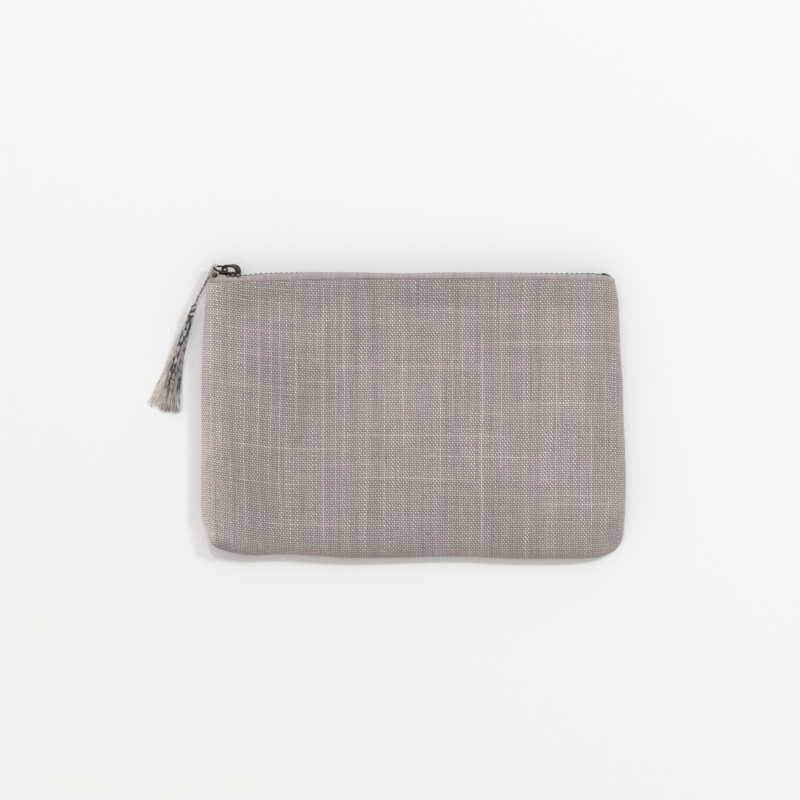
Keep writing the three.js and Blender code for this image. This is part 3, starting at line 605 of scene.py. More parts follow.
# %% Tassel head
HEAD_LENGTH, HEAD_RADIUS, HEAD_TWIST = 6.4, 1.3, 4.8
HEAD_YARNS = 3
head_start = cord_points[6]
head_along = unit((cord_points[7] - cord_points[6]) * [1, 1, 0])
head_across = np.cross(head_along, UP)
h = np.concatenate([[0], np.linspace(0, 1, 60), [1]])[:, None]
a = np.linspace(0, 2 * np.pi, 33)[None, :]
turn = 2 * np.pi * h * HEAD_LENGTH / HEAD_TWIST + a
yarns = HEAD_YARNS / 2 * turn
radius = HEAD_RADIUS * (0.5 + 0.5 * ease(h / 0.3)) * (0.80 + 0.26 * np.abs(np.sin(yarns)))
radius[0], radius[-1] = 0, 0
grid = (head_start + (h * HEAD_LENGTH)[..., None] * head_along
        + (radius * np.cos(a))[..., None] * head_across + (radius * np.sin(a))[..., None] * UP)
flat = np.stack(np.broadcast_arrays(h * HEAD_LENGTH, HEAD_RADIUS * a), axis=-1)
tone = 0.42 + 0.34 * np.sign(np.sin(yarns + 0.4)) * (np.abs(np.sin(turn + 1)) > 0.3)
head = mesh_piece("tassel_head_twisted", grey_yarn, (grid, flat, tone))

# %% Strand paths
seeded = np.random.default_rng(7)


def strands(roots, tips, bow, wave, waves, heights, count=64, first=0.0):
    """Paths from roots to tips: the straight line, plus a bow across it of half a sine, plus waves that
    grow towards the tip. The height eases from the root's to the tip's, and first is the share of the
    way at which a path starts."""
    s = np.linspace(first, 1, count)[None, :, None]
    line = roots[:, None] + (tips - roots)[:, None] * s
    across = unit(np.stack([tips[:, 1] - roots[:, 1], roots[:, 0] - tips[:, 0]], axis=-1))[:, None]
    phase = seeded.uniform(0, 2 * np.pi, (len(roots), 1, 1))
    sway = bow[:, None, None] * np.sin(np.pi * s)
    sway = sway + wave[:, None, None] * s * np.sin(2 * np.pi * waves * s + phase)
    level = heights[:, :1] + (heights[:, 1:] - heights[:, :1]) * ease(s[..., 0] * 1.4)
    return np.concatenate([line + sway * across, level[..., None]], axis=-1)


head_end = (head_start + 0.95 * HEAD_LENGTH * head_along)[:2]


def fan(count, x_from, x_to, y_from, y_to, root_spread, uneven):
    """Roots beside each other at the head's end, and tips from one corner to the other, a bit uneven."""
    place = np.linspace(0, 1, count)
    roots = head_end + head_across[:2] * ((1 - 2 * place) * root_spread)[:, None]
    tips = np.stack([x_from + (x_to - x_from) * place, y_from + (y_to - y_from) * place], axis=-1)
    return roots, tips + seeded.uniform(-uneven, uneven, (count, 2))


print("strands start at", np.round(head_end, 1))

# %% [markdown]
# ## Plied strands and their fringe
#
# Five thick strands hang on the right. Each is seven yarns wound round one path, and a tone along the
# yarns gives the flecks. A noise could place them, but a cosine of the length keeps them in a row across
# the yarns, as they are on yarn that was dyed in spots. Towards the ends the plies come loose, and a
# fringe of single yarns starts under them.

# %% Plied strands and grey fringe
STRANDS, STRAND_YARNS, FRINGE = 5, 7, 84
FLECK_EVERY, FLECK_SHIFT = 4.6, 0.58     # length from fleck to fleck, and the step from yarn to yarn
YARN_TONES = (0.45, 0.9, 0.55, 0.98, 0.65, 0.92, 0.5)
STRAND_BOWS = np.array([0.5, 0.9, 1.2, 1.2, 1.1])
STRAND_SHADES = np.array([0.95, 1.0, 0.9, 1.0, 0.62])[:, None, None]


def flecks(path, start, shift):
    """A tone along each strand: pale, with dark flecks where a cosine of the length is high. The start
    differs by strand, and a slow sine makes the flecks come unevenly."""
    length = ends_twice(run_length(path))
    wave = np.cos(2 * np.pi * length / FLECK_EVERY + 1.4 * np.sin(length / 3.1 + 2 * start) + start + shift)
    return (1 - ease((wave + 0.26) / 0.6))[..., None]


roots, tips = fan(STRANDS, -122.2, -116.8, 9.8, 8.2, 0.8, 1.4)
heights = np.stack([seeded.uniform(4.6, 5.8, STRANDS), seeded.uniform(1.0, 1.8, STRANDS)], axis=-1)
paths = strands(roots, tips, STRAND_BOWS, seeded.uniform(0.2, 0.6, STRANDS), 1.4, heights, 110)
starts, twists = seeded.uniform(0, 6.28, (STRANDS, 1)), seeded.uniform(4.8, 6.6, (STRANDS, 1))
yarns = plied(paths, seeded.uniform(1.5, 2.0, (STRANDS, 1)), twists, starts, loosen=0.9,
              turns=np.arange(STRAND_YARNS) * 2 * np.pi / STRAND_YARNS)
taper = np.concatenate([np.linspace(0.7, 1, 12), np.ones(58), np.linspace(1, 0.2, 40)])
yarn_tones = [tone * flecks(paths, starts, FLECK_SHIFT * k) * STRAND_SHADES + 0.04
              for k, tone in enumerate(YARN_TONES)]
dark = mesh_piece("tassel_plied_strands", grey_yarn,
                  *[(*tube(yarn, 0.25 * taper, 6), tone) for yarn, tone in zip(yarns, yarn_tones)])
roots, tips = fan(FRINGE, -124.6, -114.7, 0.9, -0.5, 0.9, 0.9)
heights = np.stack([seeded.uniform(2.6, 5.0, FRINGE), seeded.uniform(0.3, 1.7, FRINGE)], axis=-1)
bows, waves = seeded.uniform(1.4, 2.5, FRINGE), seeded.uniform(0.1, 0.7, FRINGE)
paths = strands(roots, tips, bows, waves, 1.3, heights, 30, first=0.5)
tone = seeded.choice([0.1, 0.45, 0.85, 1.0, 1.05, 1.1], (FRINGE, 1))
tone = tone * (0.6 + 0.4 * ease(np.linspace(0, 1.4, 32)))
thick = 0.15 * ease(np.linspace(0.25, 2, 30))            # thin where it comes out from under the strands
grey = mesh_piece("tassel_grey_fringe", grey_yarn, (*tube(paths, thick, 5), tone[..., None]))

# %% [markdown]
# ## Beige strands
#
# The left half of the skirt is loose beige yarn, thick and thin. One group of strands would look combed,
# so there are two, with other widths and bows. Some tips are darker and some paler, which the tone near the end
# shows.

# %% Beige strands
patches = []
for count, thick, swing, sway in ((27, 0.12, 0.4, 1.2), (22, 0.08, 1.6, 2.0)):
    roots, tips = fan(count, -130.6, -121.5, 3.6, 0.3, 1.0, 1.4)
    heights = np.stack([seeded.uniform(3.4, 5.2, count), seeded.uniform(0.25, 1.0, count)], axis=-1)
    bows, waves = seeded.uniform(-1.6, swing, count), seeded.uniform(0.2, sway, count)
    paths = strands(roots, tips, bows, waves, 1.8, heights, 48)
    # some tips turn darker and some paler towards the end
    tip_change = seeded.choice([-0.1, -0.1, -0.1, 0.0, 0.5], (count, 1))
    tip_change = tip_change * ease((np.linspace(0, 1, 50) - 0.72) / 0.2)
    tone = seeded.choice([0.6, 0.9, 1.0], (count, 1)) - tip_change
    patches.append((*tube(paths, thick, 5), tone[..., None]))
beige = mesh_piece("tassel_beige_strands", beige_yarn, *patches)

# %% [markdown]
# ## What the tassel's pieces stand for
#
# Each piece takes the place of one measured solid and swings with the tassel.

# %% Tassel pieces
for piece, node, slot in ((cord, "tassel_cord", "dark_yarn"), (loop, "cord_loop", "dark_yarn"),
                          (knot, "cord_knot", "dark_yarn"), (head, "tassel_head", "dark_yarn"),
                          (dark, "dark_yarn", "dark_yarn"), (grey, "grey_yarn", "grey_yarn"),
                          (beige, "beige_yarn", "beige_yarn")):
    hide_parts(node)
    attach(piece, "tassel")
print("the tassel has 7 pieces and", round(cord_length, 1), "mm of cord")

# %% [markdown]
# ## The outline of the pouch
#
# Both leaves share one outline: sides that bow out a little, two lower corners that are pulled in, a
# hem that waves as soft cloth does, and a mouth that bows up in the middle. A leaf's grid runs from side
# to side and from hem to mouth. Its height comes from the distance to the outline, through a quarter
# round, so the cloth rolls over from the seam and then lies nearly flat. A drawn curve could be filled
# with faces, but a grid has rows and columns that follow the threads.

# %% Outline
front_low, front_high = box_mm("front_panel")
HALF_WIDTH, HEM_Y, FOLD_Y = front_high[0], front_low[1], front_high[1]
SEAM_Z = (front_low[2] + box_mm("back_panel")[1][2]) / 2
MOUTH_HALF = 100.3
WIDEST_Y = HEM_Y + 40
LEFT_CORNER, RIGHT_CORNER = (3.4, 4.0), (5.0, 6.0)       # across and up
LEFT_HEM, RIGHT_HEM = 100.4, 102.9                       # where the corners end
LEFT_PULL = [            # knots of a smooth curve: the height, and how far the side is pulled in there
    (-90, 3.7), (-66, 3.7), (-63, 3.7), (-60, 3.5), (-57.3, 3.0), (-54.4, 2.0), (-51, 0.7), (-47, 0.1),
    (-40, 0), (-20, 0.1), (-8, 0.1), (3, -0.4), (15, -0.7), (30, -0.9), (50, -0.9), (80, -0.9)]
RIGHT_PULL = [
    (-90, 0.9), (-67, 0.9), (-61, 0), (-55, -0.4), (-45, -0.65), (-32, -0.65), (-14, -0.25), (0, 0.1),
    (15, 0.05), (27, 0.45), (40, 0.3), (50, 0.1), (57, 0.2), (62, 0.9), (80, 1.5)]
CLOTH = 0.4              # one layer of linen
HEM_WAVE = [             # the place from left to right, and how far the hem lies higher there
    (-104, 7.4), (-100.4, 6.4), (-97, 5.4), (-93, 3.9), (-88, 2.6), (-84, 1.8), (-79, 1.4), (-66, 1.9),
    (-50, 1.3), (-34, 0.2), (-2, 0.3), (14, 0.6), (24, 0.6), (50, -0.3), (76, -0.3), (86, -0.1),
    (93, 0.5), (99, 2.8), (104, 4.6)]
FOLD_BOW = [             # and the folded edge at the mouth
    (-104, -2.6), (-96, -1.9), (-84, -1.5), (-62, -0.9), (-30, -0.2), (10, -0.15), (50, -0.3),
    (80, -0.8), (94, -1.3), (104, -2.6)]


def half_width(p, y):
    """Half the width at a height: the widest, less a parabola that reaches the mouth's half width, less
    the pull on that side."""
    bow = (HALF_WIDTH - MOUTH_HALF) * ((y - WIDEST_Y) / (FOLD_Y - WIDEST_Y)) ** 2
    return HALF_WIDTH - bow - np.where(p < 0, smooth_curve(y, LEFT_PULL), smooth_curve(y, RIGHT_PULL))


def hem_line(p):
    """The hem's height for p from -1 to 1: the waves, plus a quarter ellipse at each corner."""
    end = np.where(p < 0, LEFT_HEM, RIGHT_HEM)
    across, up = (np.where(p < 0, left, right) for left, right in zip(LEFT_CORNER, RIGHT_CORNER))
    c = np.clip((np.abs(p) * end - (end - across)) / across, 0, 1)
    return HEM_Y + smooth_curve(p * end, HEM_WAVE) + up * (1 - np.sqrt(1 - c**2))


def plan(p, t):
    """Place on the table of a leaf's point: t of the way from hem to mouth, p of the half width."""
    hem = hem_line(p)
    y = hem + t * (FOLD_Y - CLOTH + smooth_curve(p * MOUTH_HALF, FOLD_BOW) - hem)
    return p * half_width(p, y), y


print("pouch", round(2 * HALF_WIDTH, 1), "by", round(FOLD_Y - HEM_Y, 1), "mm, seam at", round(SEAM_Z, 2))

# %% Distance to the outline
bend = 0.06 * (1 - np.cos(np.linspace(0, np.pi / 2, 60)))
hem_p = np.concatenate([-1 + bend, np.linspace(-0.93, 0.93, 280), (1 - bend)[::-1]])
side_t = np.linspace(0, 1, 160)
OUTLINE = np.concatenate([np.stack(plan(0 * side_t - 1, side_t[::-1]), axis=-1),
                          np.stack(plan(hem_p, 0 * hem_p), axis=-1)[1:-1],
                          np.stack(plan(0 * side_t + 1, side_t), axis=-1)])


def edge_distance(x, y):
    """Distance from each point to the nearest straight piece of the outline."""
    place = np.stack([x.ravel(), y.ravel()], axis=-1)[:, None]
    start, run = OUTLINE[:-1], np.diff(OUTLINE, axis=0)
    share = np.clip(((place - start) * run).sum(-1) / (run**2).sum(-1), 0, 1)
    return np.linalg.norm(place - start - share[..., None] * run, axis=-1).min(axis=1).reshape(x.shape)


print("outline of", len(OUTLINE), "points,", round(run_length(OUTLINE)[-1]), "mm long")

# %% [markdown]
# ## Front and back leaves
#
# The front leaf is slightly puffed and soft, so it gets slow waves and, along the seams, small puckers.
# The back leaf lies flat on the table. At the mouth each leaf turns over in a small half round and goes
# back inside, which gives the folded edge beside the zip. Solidify then gives the cloth its thickness.
# The leaves could be sculpted, but a formula keeps to the measured heights.

# %% Leaf surfaces
teeth_low, teeth_high = box_mm("front_teeth")
CHAIN_Y, CHAIN_END = (teeth_low[1] + teeth_high[1]) / 2, teeth_high[0]
CHAIN_Z = (teeth_low[2] + box_mm("back_teeth")[1][2]) / 2
MOUTH_Z = 2 * CHAIN_Z
SIDE_ROUND, HEM_ROUND, MOUTH_ROUND, BACK_ROUND, CROWN_RISE = 9.0, 13.0, 4.0, 5.0, 1.4
OUTLINE_ERROR = 0.02     # how far the straight pieces of the outline may lie beside its curve
SEAM_HALF = 0.05         # half the slit between the leaves at the seam
SEAM_SETTLES = 45.0      # height over the hem where the seam has its measured height
HEM_ROUND_FROM, HEM_ROUND_OVER = 4, 22                   # where the hem's round turns into the side's
SEAM_LIFT = [            # the seam's height over the table along the hem, as a share of the measured one
    (-104, 1.9), (-94, 1.85), (-83, 1.25), (-70, 1.0), (-47, 1.18), (-33, 1.05), (-5, 0.82), (15, 0.62),
    (36, 0.75), (77, 0.82), (84, 0.75), (91, 0.5), (97, 0.2), (104, 0.15)]
PRESSED, PRESSED_AT, PRESSED_REACH = 0.55, (101, -68), (16, 12)     # lower right corner
ZIP_DIP, ZIP_DIP_BELOW, ZIP_DIP_REACH = 1.1, 13, 7       # how deep, how far below the fold, how wide
SLACK = [(0.34, 97, 22, 0.4), (0.24, 63, 104, 1.9), (0.16, 41, 64, 4.0), (0.10, 26, 141, 2.2)]
SLACK_FROM_SEAM, SLACK_FROM_FOLD = 22, 26                # over which lengths the slow waves set in
PUCKER, PUCKER_LENGTH, PUCKER_REACH = 0.20, 8.5, 5       # how high, how long, how far from the seam


def seam_height(x, y):
    """Height of the side seam over the table. Along the hem it goes up and down, as the cloth holds it,
    and further up the sides it comes back to the measured height."""
    return SEAM_Z * (1 + (smooth_curve(x, SEAM_LIFT) - 1) * (1 - ease((y - HEM_Y) / SEAM_SETTLES)))


def quarter_round(t):
    """A quarter circle's rise: the root of 1 - (1 - t)², level from t = 1 on."""
    return np.sqrt(1 - (1 - np.clip(t, 0, 1)) ** 2)


def leaf_height(x, y, front):
    """Height of a leaf: seam, plus the quarter round of the distance to the outline, which is pressed
    flat at the lower right corner. On the front also the crown with a dip below the zip, slow waves
    (height, length, heading, start), and puckers that die away from the seam."""
    distance = np.maximum(edge_distance(x, y) - OUTLINE_ERROR, 0)
    towards_mouth = np.clip((y - WIDEST_Y) / (FOLD_Y - WIDEST_Y), 0, 1)
    edge = BACK_ROUND
    if front:
        near_hem = 1 - ease((y - HEM_Y - HEM_ROUND_FROM) / HEM_ROUND_OVER)
        edge = SIDE_ROUND + (HEM_ROUND - SIDE_ROUND) * near_hem
    rise = quarter_round(distance / (edge + (MOUTH_ROUND - edge) * towards_mouth))
    corner = ((x - PRESSED_AT[0]) / PRESSED_REACH[0]) ** 2 + ((y - PRESSED_AT[1]) / PRESSED_REACH[1]) ** 2
    rise = rise * (1 - PRESSED * np.exp(-corner))
    seam = seam_height(x, y)
    if not front:
        return (seam - SEAM_HALF) * (1 - rise)
    up = np.clip((y - HEM_Y) / (FOLD_Y - HEM_Y), 0, 1)
    crown = CROWN_RISE * (1 - (x / half_width(x, y)) ** 2) * 4 * up * (1 - up)
    crown = crown - ZIP_DIP * np.exp(-((y - FOLD_Y + ZIP_DIP_BELOW) / ZIP_DIP_REACH) ** 2) * rise
    slack = 0
    for high, length, heading, start in SLACK:
        along = x * np.cos(np.radians(heading)) + y * np.sin(np.radians(heading))
        slack = slack + high * np.sin(2 * np.pi * along / length + start)
    free = ease(distance / SLACK_FROM_SEAM) * ease((FOLD_Y - y) / SLACK_FROM_FOLD)
    pucker = PUCKER * np.sin((x + y) * 2 * np.pi / PUCKER_LENGTH + 1.7 * np.sin((x - y) / 6))
    pucker = pucker * np.exp(-distance / PUCKER_REACH)
    return seam + SEAM_HALF + (MOUTH_Z - seam - SEAM_HALF) * rise + crown + slack * free + pucker * rise


def edge_steps(reach, count, size, step):
    """Places across a sheet of that size: close together where it rolls over at the start, then even."""
    roll = reach * (1 - np.cos(np.linspace(0, np.pi / 2, count)))
    return np.concatenate([roll, np.linspace(reach, size, int((size - reach) / step))[1:]])


def grid_normals(grid):
    """The direction square to a grid of points: columns' direction crossed with rows' direction."""
    return unit(np.cross(np.gradient(grid, axis=1), np.gradient(grid, axis=0)))


half = edge_steps(SIDE_ROUND, 10, HALF_WIDTH, 1.5) / HALF_WIDTH
columns = np.concatenate([-1 + half, (1 - half)[::-1][1:]])
rows = edge_steps(HEM_ROUND, 10, FOLD_Y - HEM_Y, 1.5) / (FOLD_Y - HEM_Y)
print(len(rows), "rows and", len(columns), "columns on a leaf")

# %% [markdown]
# ## Panels
#
# Each panel is one cut of linen, folded in at the mouth. A cloth simulation could bend a flat sheet, but
# its outcome changes with every setting. Rows over the leaf, round the fold and back inside give the
# same shape each time, and the lengths along them give the weave its flat places.

# %% Panels
FOLD_RETURN = 6.0        # cloth turned to the inside at the mouth
WEFT_BOW = [(-104, 7.6), (-85, 4.2), (-65, 1.7), (-45, 0.4), (-25, 0), (104, 0)]
PAINTED_LIGHT_AND_SHADE = [                # soft patches of painted shade and painted light: middle, width, height and change
    (0, FOLD_Y - 9, 140, 8, -0.08), (-96, HEM_Y + 6, 6, 3.5, -0.45), (-79, -29, 12, 38, -0.13),
    (-50, 10, 18, 22, -0.10), (77, 8, 11, 42, 0.13), (10, -58, 42, 12, -0.08), (30, 22, 8, 15, -0.07),
    (-2, 59, 9, 9, -0.08), (-80, 59, 12, 9, -0.06), (15, 44, 9, 14, 0.08), (56, -20, 22, 20, 0.08),
    (-6, -8, 16, 22, 0.06), (92, 63, 9, 8, 0.12), (0, HEM_Y + 1, 150, 5, -0.04),
    (-101, -18, 6, 22, 0.10),
]
# painted light along the rolled side edges
LEFT_RIM_LIGHT, LEFT_SIDE_LIGHT, RIGHT_RIM_LIGHT = (0.52, 5.2), (0.10, 16), (0.12, 1.5)    # how much paler, and how far in


def panel_grid(front):
    """A leaf with its turned edge: the leaf's rows, a half circle over the mouth, and a run back inside.
    Flat places are lengths along the cloth, down from the mouth and out from the middle column, less
    the bow of the weft, which climbs towards the left side. The tone holds painted light along the side
    edges, and painted light and shade in soft round patches."""
    x, y = plan(*np.meshgrid(columns, rows))
    leaf = np.stack([x, y, leaf_height(x, y, front)], axis=-1)
    out = grid_normals(leaf)[-1] * (1 if front else -1)
    ahead = np.array([0.0, 1.0, 0.0])
    a = np.linspace(0, np.pi, 8)[1:, None, None]
    centre = leaf[-1] - CLOTH * out
    fold = centre + CLOTH * (np.cos(a) * out + np.sin(a) * ahead)
    inside = 1 - np.linspace(FOLD_RETURN, 0, 6) / (FOLD_Y - HEM_Y)
    x, y = plan(*np.meshgrid(columns, inside))
    under = np.stack([x, y, leaf_height(x, y, front)], axis=-1)
    under = under - 2 * CLOTH * grid_normals(under) * (1 if front else -1)
    grid = np.concatenate([leaf, fold, under[::-1][1:]])
    down, sideways = run_length(grid, 0), run_length(grid, 1)
    middle = grid.shape[1] // 2
    x, y = grid[..., 0], grid[..., 1]
    flat = np.stack([sideways - sideways[:, middle:middle + 1],
                     down - down[len(rows) - 1] + FOLD_Y - smooth_curve(x, WEFT_BOW)], axis=-1)
    left, right = half_width(-1.0, y) + x, half_width(1.0, y) - x
    painted_light_and_shade = 1 + LEFT_RIM_LIGHT[0] * np.exp(-(np.maximum(left, 0) / LEFT_RIM_LIGHT[1]) ** 1.5)
    painted_light_and_shade = painted_light_and_shade + LEFT_SIDE_LIGHT[0] * np.exp(-(left / LEFT_SIDE_LIGHT[1]) ** 2)
    painted_light_and_shade = painted_light_and_shade + RIGHT_RIM_LIGHT[0] * np.exp(-np.maximum(right, 0) / RIGHT_RIM_LIGHT[1])
    # painted light and shade in soft round patches
    for middle_x, middle_y, wide, high, change in PAINTED_LIGHT_AND_SHADE:
        painted_light_and_shade = painted_light_and_shade + change * np.exp(-((x - middle_x) / wide) ** 2 - ((y - middle_y) / high) ** 2)
    return grid, flat, painted_light_and_shade


def thicken(piece, thickness):
    """Gives a sheet its wall on the inner side."""
    wall = piece.modifiers.new("wall", "SOLIDIFY")
    wall.thickness, wall.offset = thickness * MM, -1


panels = {}
for side in ("front", "back"):
    grid, flat, painted_light_and_shade = panel_grid(side == "front")
    if side == "back":
        grid, flat, painted_light_and_shade = grid[:, ::-1], flat[:, ::-1], painted_light_and_shade[:, ::-1]
    panels[side] = mesh_piece(side + "_panel_linen", linen, (grid, flat, painted_light_and_shade), closed=False)
    thicken(panels[side], CLOTH)

# %% [markdown]
# ## Lining
#
# Inside each leaf hangs a cotton lining, a little smaller all round. It is the leaf's own surface, moved
# inwards along its normals, and moved further near the mouth, where the zip tape lies between the two.
# A copy that is only scaled down would cut through the linen where that is thin.

# %% Linings
LINING_DEPTH, LINING_TOP, LINING_INSET, LINING_THICK = 1.0, 4.5, 0.985, 0.25
TAPE_ROOM, TAPE_ROOM_BELOW, TAPE_ROOM_OVER = 1.5, 14, 7  # more depth, from below the fold, over a length

linings = {}
fine = np.concatenate([-1 + half[::2], (1 - half[::2])[::-1]])
for side in ("front", "back"):
    x, y = plan(*np.meshgrid(LINING_INSET * fine, 1 - LINING_INSET + LINING_INSET * rows))
    grid = np.stack([x, y, leaf_height(x, y, side == "front")], axis=-1)
    depth = LINING_DEPTH + TAPE_ROOM * ease((y - FOLD_Y + TAPE_ROOM_BELOW) / TAPE_ROOM_OVER)
    grid = grid - depth[..., None] * grid_normals(grid) * (1 if side == "front" else -1)
    grid = grid[:np.searchsorted(rows, 1 - LINING_TOP / (FOLD_Y - HEM_Y))]
    flat = grid[..., :2]
    if side == "back":
        grid, flat = grid[:, ::-1], flat[:, ::-1]
    linings[side] = mesh_piece(side + "_lining_cotton", cotton, (grid, flat, 1.0), closed=False)
    thicken(linings[side], LINING_THICK)

# %% [markdown]
# ## Zip tape
#
# A woven tape runs from each row of teeth, bends over by a quarter turn and goes under the folded edge
# of its leaf. A rounded bead is woven into its free edge for the teeth to grip. Near the slider's end
# the two rows stand apart, round the slider's dividing post, and the tape follows them. A strip that is
# bent by modifiers would lose those places, so the tape's section is worked out along the zip.

# %% Line of the zip
ZIP_BOW = [              # the place from left to right, and how far the zip lies higher there
    (-104, -1.2), (-97, -0.6), (-82, -1.1), (-74, -0.4), (-62, 0), (-45, 0.4), (-30, 0.35), (-12, -0.1),
    (-3, -0.25), (4, -0.1), (12, 0.2), (22, 0.25), (40, 0.35), (56, 0), (78, -0.4), (88, -0.2),
    (93, -0.5), (96.5, -1.0), (98, -1.6), (99, -2.5), (104, -5)]
SPREAD_END, SPREAD_SLOPE, SPREAD_EASE, SPREAD_LIMIT = -90.5, 0.5, 3.0, 1.3


def row_spread(x):
    """How far a row stands out at the slider: nothing beyond it, then a parabola, then a capped slope."""
    t = np.maximum(SPREAD_END - x, 0)
    eased = np.where(t < SPREAD_EASE, t**2 / (2 * SPREAD_EASE), t - SPREAD_EASE / 2)
    return np.minimum(SPREAD_SLOPE * eased, SPREAD_LIMIT)


def zip_bow(x):
    """How far the zip bows up or down on the table, as soft cloth holds it."""
    return smooth_curve(x, ZIP_BOW)


# The chain leans over towards the back leaf, which lies flat, and hides behind the tape in the middle.
ZIP_LEAN = [(-104, 0.13), (-60, 0.12), (-48, 0.04), (50, 0.04), (64, 0.12), (82, 0.13), (92, 0), (104, 0)]


def leaned(grid):
    """The chain's points moved up by their height over its centre line times the lean."""
    return grid + np.array([0, 1, 0]) * smooth_curve(grid[..., :1], ZIP_LEAN) * (grid[..., 2:] - CHAIN_Z)


def outwards(out, front):
    """Height of a point that lies out from the chain's centre plane, towards its own leaf."""
    return CHAIN_Z + (out if front else -out)


print("the zip bows by up to", round(np.abs(zip_bow(np.linspace(-95, 95, 99))).max(), 1), "mm")

# %% Tapes
BEAD_RADIUS, BEAD_OUT = 0.36, 2.0       # the bead's middle, out from the centre of the chain
TAPE_FACE = box_mm("front_zip_tape")[1][2] - CHAIN_Z
TAPE_FROM, TAPE_TO = -99.4, 99.0
TAPE_BEND, TAPE_TUCK, TAPE_THICK = 1.6, 7.0, 0.45
UNDER_LEAF = 1.1         # from the leaf's outer face to the tape's
SCALLOP = 0.16           # how far the tape's edge rises over a tooth
PRESS, PRESS_FROM, PRESS_TO, PRESS_EASE = 0.7, -93.0, -83.5, 2   # where the slider presses the edge back
CREASE_ENDS, CREASE_MIDDLE, CREASE_HALF = 0.18, 0.30, 0.34       # painted shade at the fold, and its half width
TOOTH_PITCH = 2.5
FIRST_TOOTH = {"front": -94.52, "back": -93.27}
TAPE_EDGE = [            # the place from left to right, and the edge's height over the chain's middle
    (-104, 0.45), (-84, 0.6), (-74, 0.75), (-60, 0.78), (-48, 0.84), (50, 0.84), (64, 0.78), (80, 0.7),
    (90, 0.45), (96, 0.1), (104, 0)]


def tape_grid(front):
    """The tape's outer face along x: up from the bead, a quarter circle, then under the leaf to its tucked
    edge. Its edge rises a little over each tooth, and the slider presses it back. The tone dips in a bell
    curve at the linen's fold, most in the middle: painted shade in the crease."""
    x = np.linspace(TAPE_FROM, TAPE_TO, 400)[:, None]
    fold_y = FOLD_Y - CLOTH + smooth_curve(x, FOLD_BOW)
    leaf = np.abs(leaf_height(x, np.minimum(fold_y, FOLD_Y) - 0.2, front) - CHAIN_Z)
    face = np.minimum(TAPE_FACE, leaf - UNDER_LEAF)
    start = np.minimum(BEAD_OUT + BEAD_RADIUS + row_spread(x), face - 0.12)
    bend = np.minimum(TAPE_BEND, 0.95 * (face - start))
    a = np.linspace(0, np.pi / 2, 8)[None, :]
    pressed = PRESS * ease((x - PRESS_FROM) / PRESS_EASE) * ease((PRESS_TO - x) / PRESS_EASE)
    edge = CHAIN_Y + smooth_curve(x, TAPE_EDGE) + zip_bow(x) - pressed
    edge = edge + SCALLOP * np.cos(2 * np.pi * (x - FIRST_TOOTH["front"]) / TOOTH_PITCH)
    y = [np.minimum(edge, CHAIN_Y + 0.3 + zip_bow(x)), edge - bend * (1 - np.cos(a))]
    out = [start, face - bend + bend * np.sin(a)]
    run = np.concatenate([np.linspace(0, 0.5, 14)[1:], np.linspace(0.5, 1, 5)[1:]])[None, :]
    y.append((edge - bend) * (1 - run) + (fold_y - TAPE_TUCK) * run)
    leaf = np.abs(leaf_height(x + 0 * y[-1], np.minimum(y[-1], fold_y - 0.2), front) - CHAIN_Z)
    out.append(np.minimum(face, np.maximum(leaf - UNDER_LEAF, 0.5)) - 0.4 * ease((run - 0.1) / 0.3))
    y, out = np.concatenate(y, axis=1), np.concatenate(out, axis=1)
    grid = np.stack([x + 0 * y, y, outwards(out, front)], axis=-1)
    flat = np.stack([x + 0 * y, run_length(grid, 1)], axis=-1)
    # painted shade in the crease under the linen's fold
    crease = CREASE_ENDS + CREASE_MIDDLE * np.exp(-((x - 8) / 58) ** 2)
    return grid, flat, 1 - crease * np.exp(-((y - fold_y - 0.4) / CREASE_HALF) ** 2)


def bead_path(front):
    """The bead runs along x, beside the teeth's legs, and stands out with the row."""
    x = np.linspace(-CHAIN_END, CHAIN_END, 160)
    return leaned(np.stack([x, CHAIN_Y + zip_bow(x), outwards(BEAD_OUT + row_spread(x), front)], axis=-1))


tapes = {}
for side in ("front", "back"):
    grid, flat, crease_shade = tape_grid(side == "front")
    if side == "back":
        grid, flat, crease_shade = grid[::-1], flat[::-1], crease_shade[::-1]
    tapes[side] = mesh_piece(side + "_tape_woven", tape, (grid, flat, crease_shade), closed=False)
    thicken(tapes[side], TAPE_THICK)

# %% [markdown]
# ## Teeth
#
# Each tooth is a small stamped clip: legs that are crimped on the bead, a narrow neck, and a head that
# locks between two heads of the other row. A bevelled cube could be copied by an array, but the row bows
# and parts at the slider. One outline of twelve corners in four layers, with the outer layers a little
# smaller, gives a tooth with broken edges, and the stack repeats it along the row.

# %% Teeth
TOOTH_HALF_HEIGHT, LAST_TOOTH = 1.05, 92.6
TOOTH_SIDE = np.array([(0.36, -0.5), (0.56, -0.2), (0.40, 0.7), (0.58, 1.5), (0.58, 2.15), (0.40, 2.4)])


def tooth_row(front):
    """Teeth along a row: the outline in x and out, stacked in four layers of y and closed at both ends."""
    x = np.arange(FIRST_TOOTH["front" if front else "back"], LAST_TOOTH, TOOTH_PITCH)
    outline = np.concatenate([TOOTH_SIDE * [-1, 1], TOOTH_SIDE[::-1]])
    outline = np.concatenate([outline, outline[:1]])
    middle = np.array([0, 0.9])
    scale = np.array([0, 0.8, 1, 1, 0.8, 0])[:, None, None]
    level = np.array([-1, -1, -0.82, 0.82, 1, 1])[:, None] * TOOTH_HALF_HEIGHT
    shape = middle + (outline - middle) * scale
    grid = np.zeros((len(x), *shape.shape[:2], 3))
    grid[..., 0] = x[:, None, None] + shape[..., 0]
    grid[..., 1] = CHAIN_Y + zip_bow(x)[:, None, None] + level
    grid[..., 2] = outwards(shape[..., 1] + row_spread(x)[:, None, None], front)
    return leaned(grid)


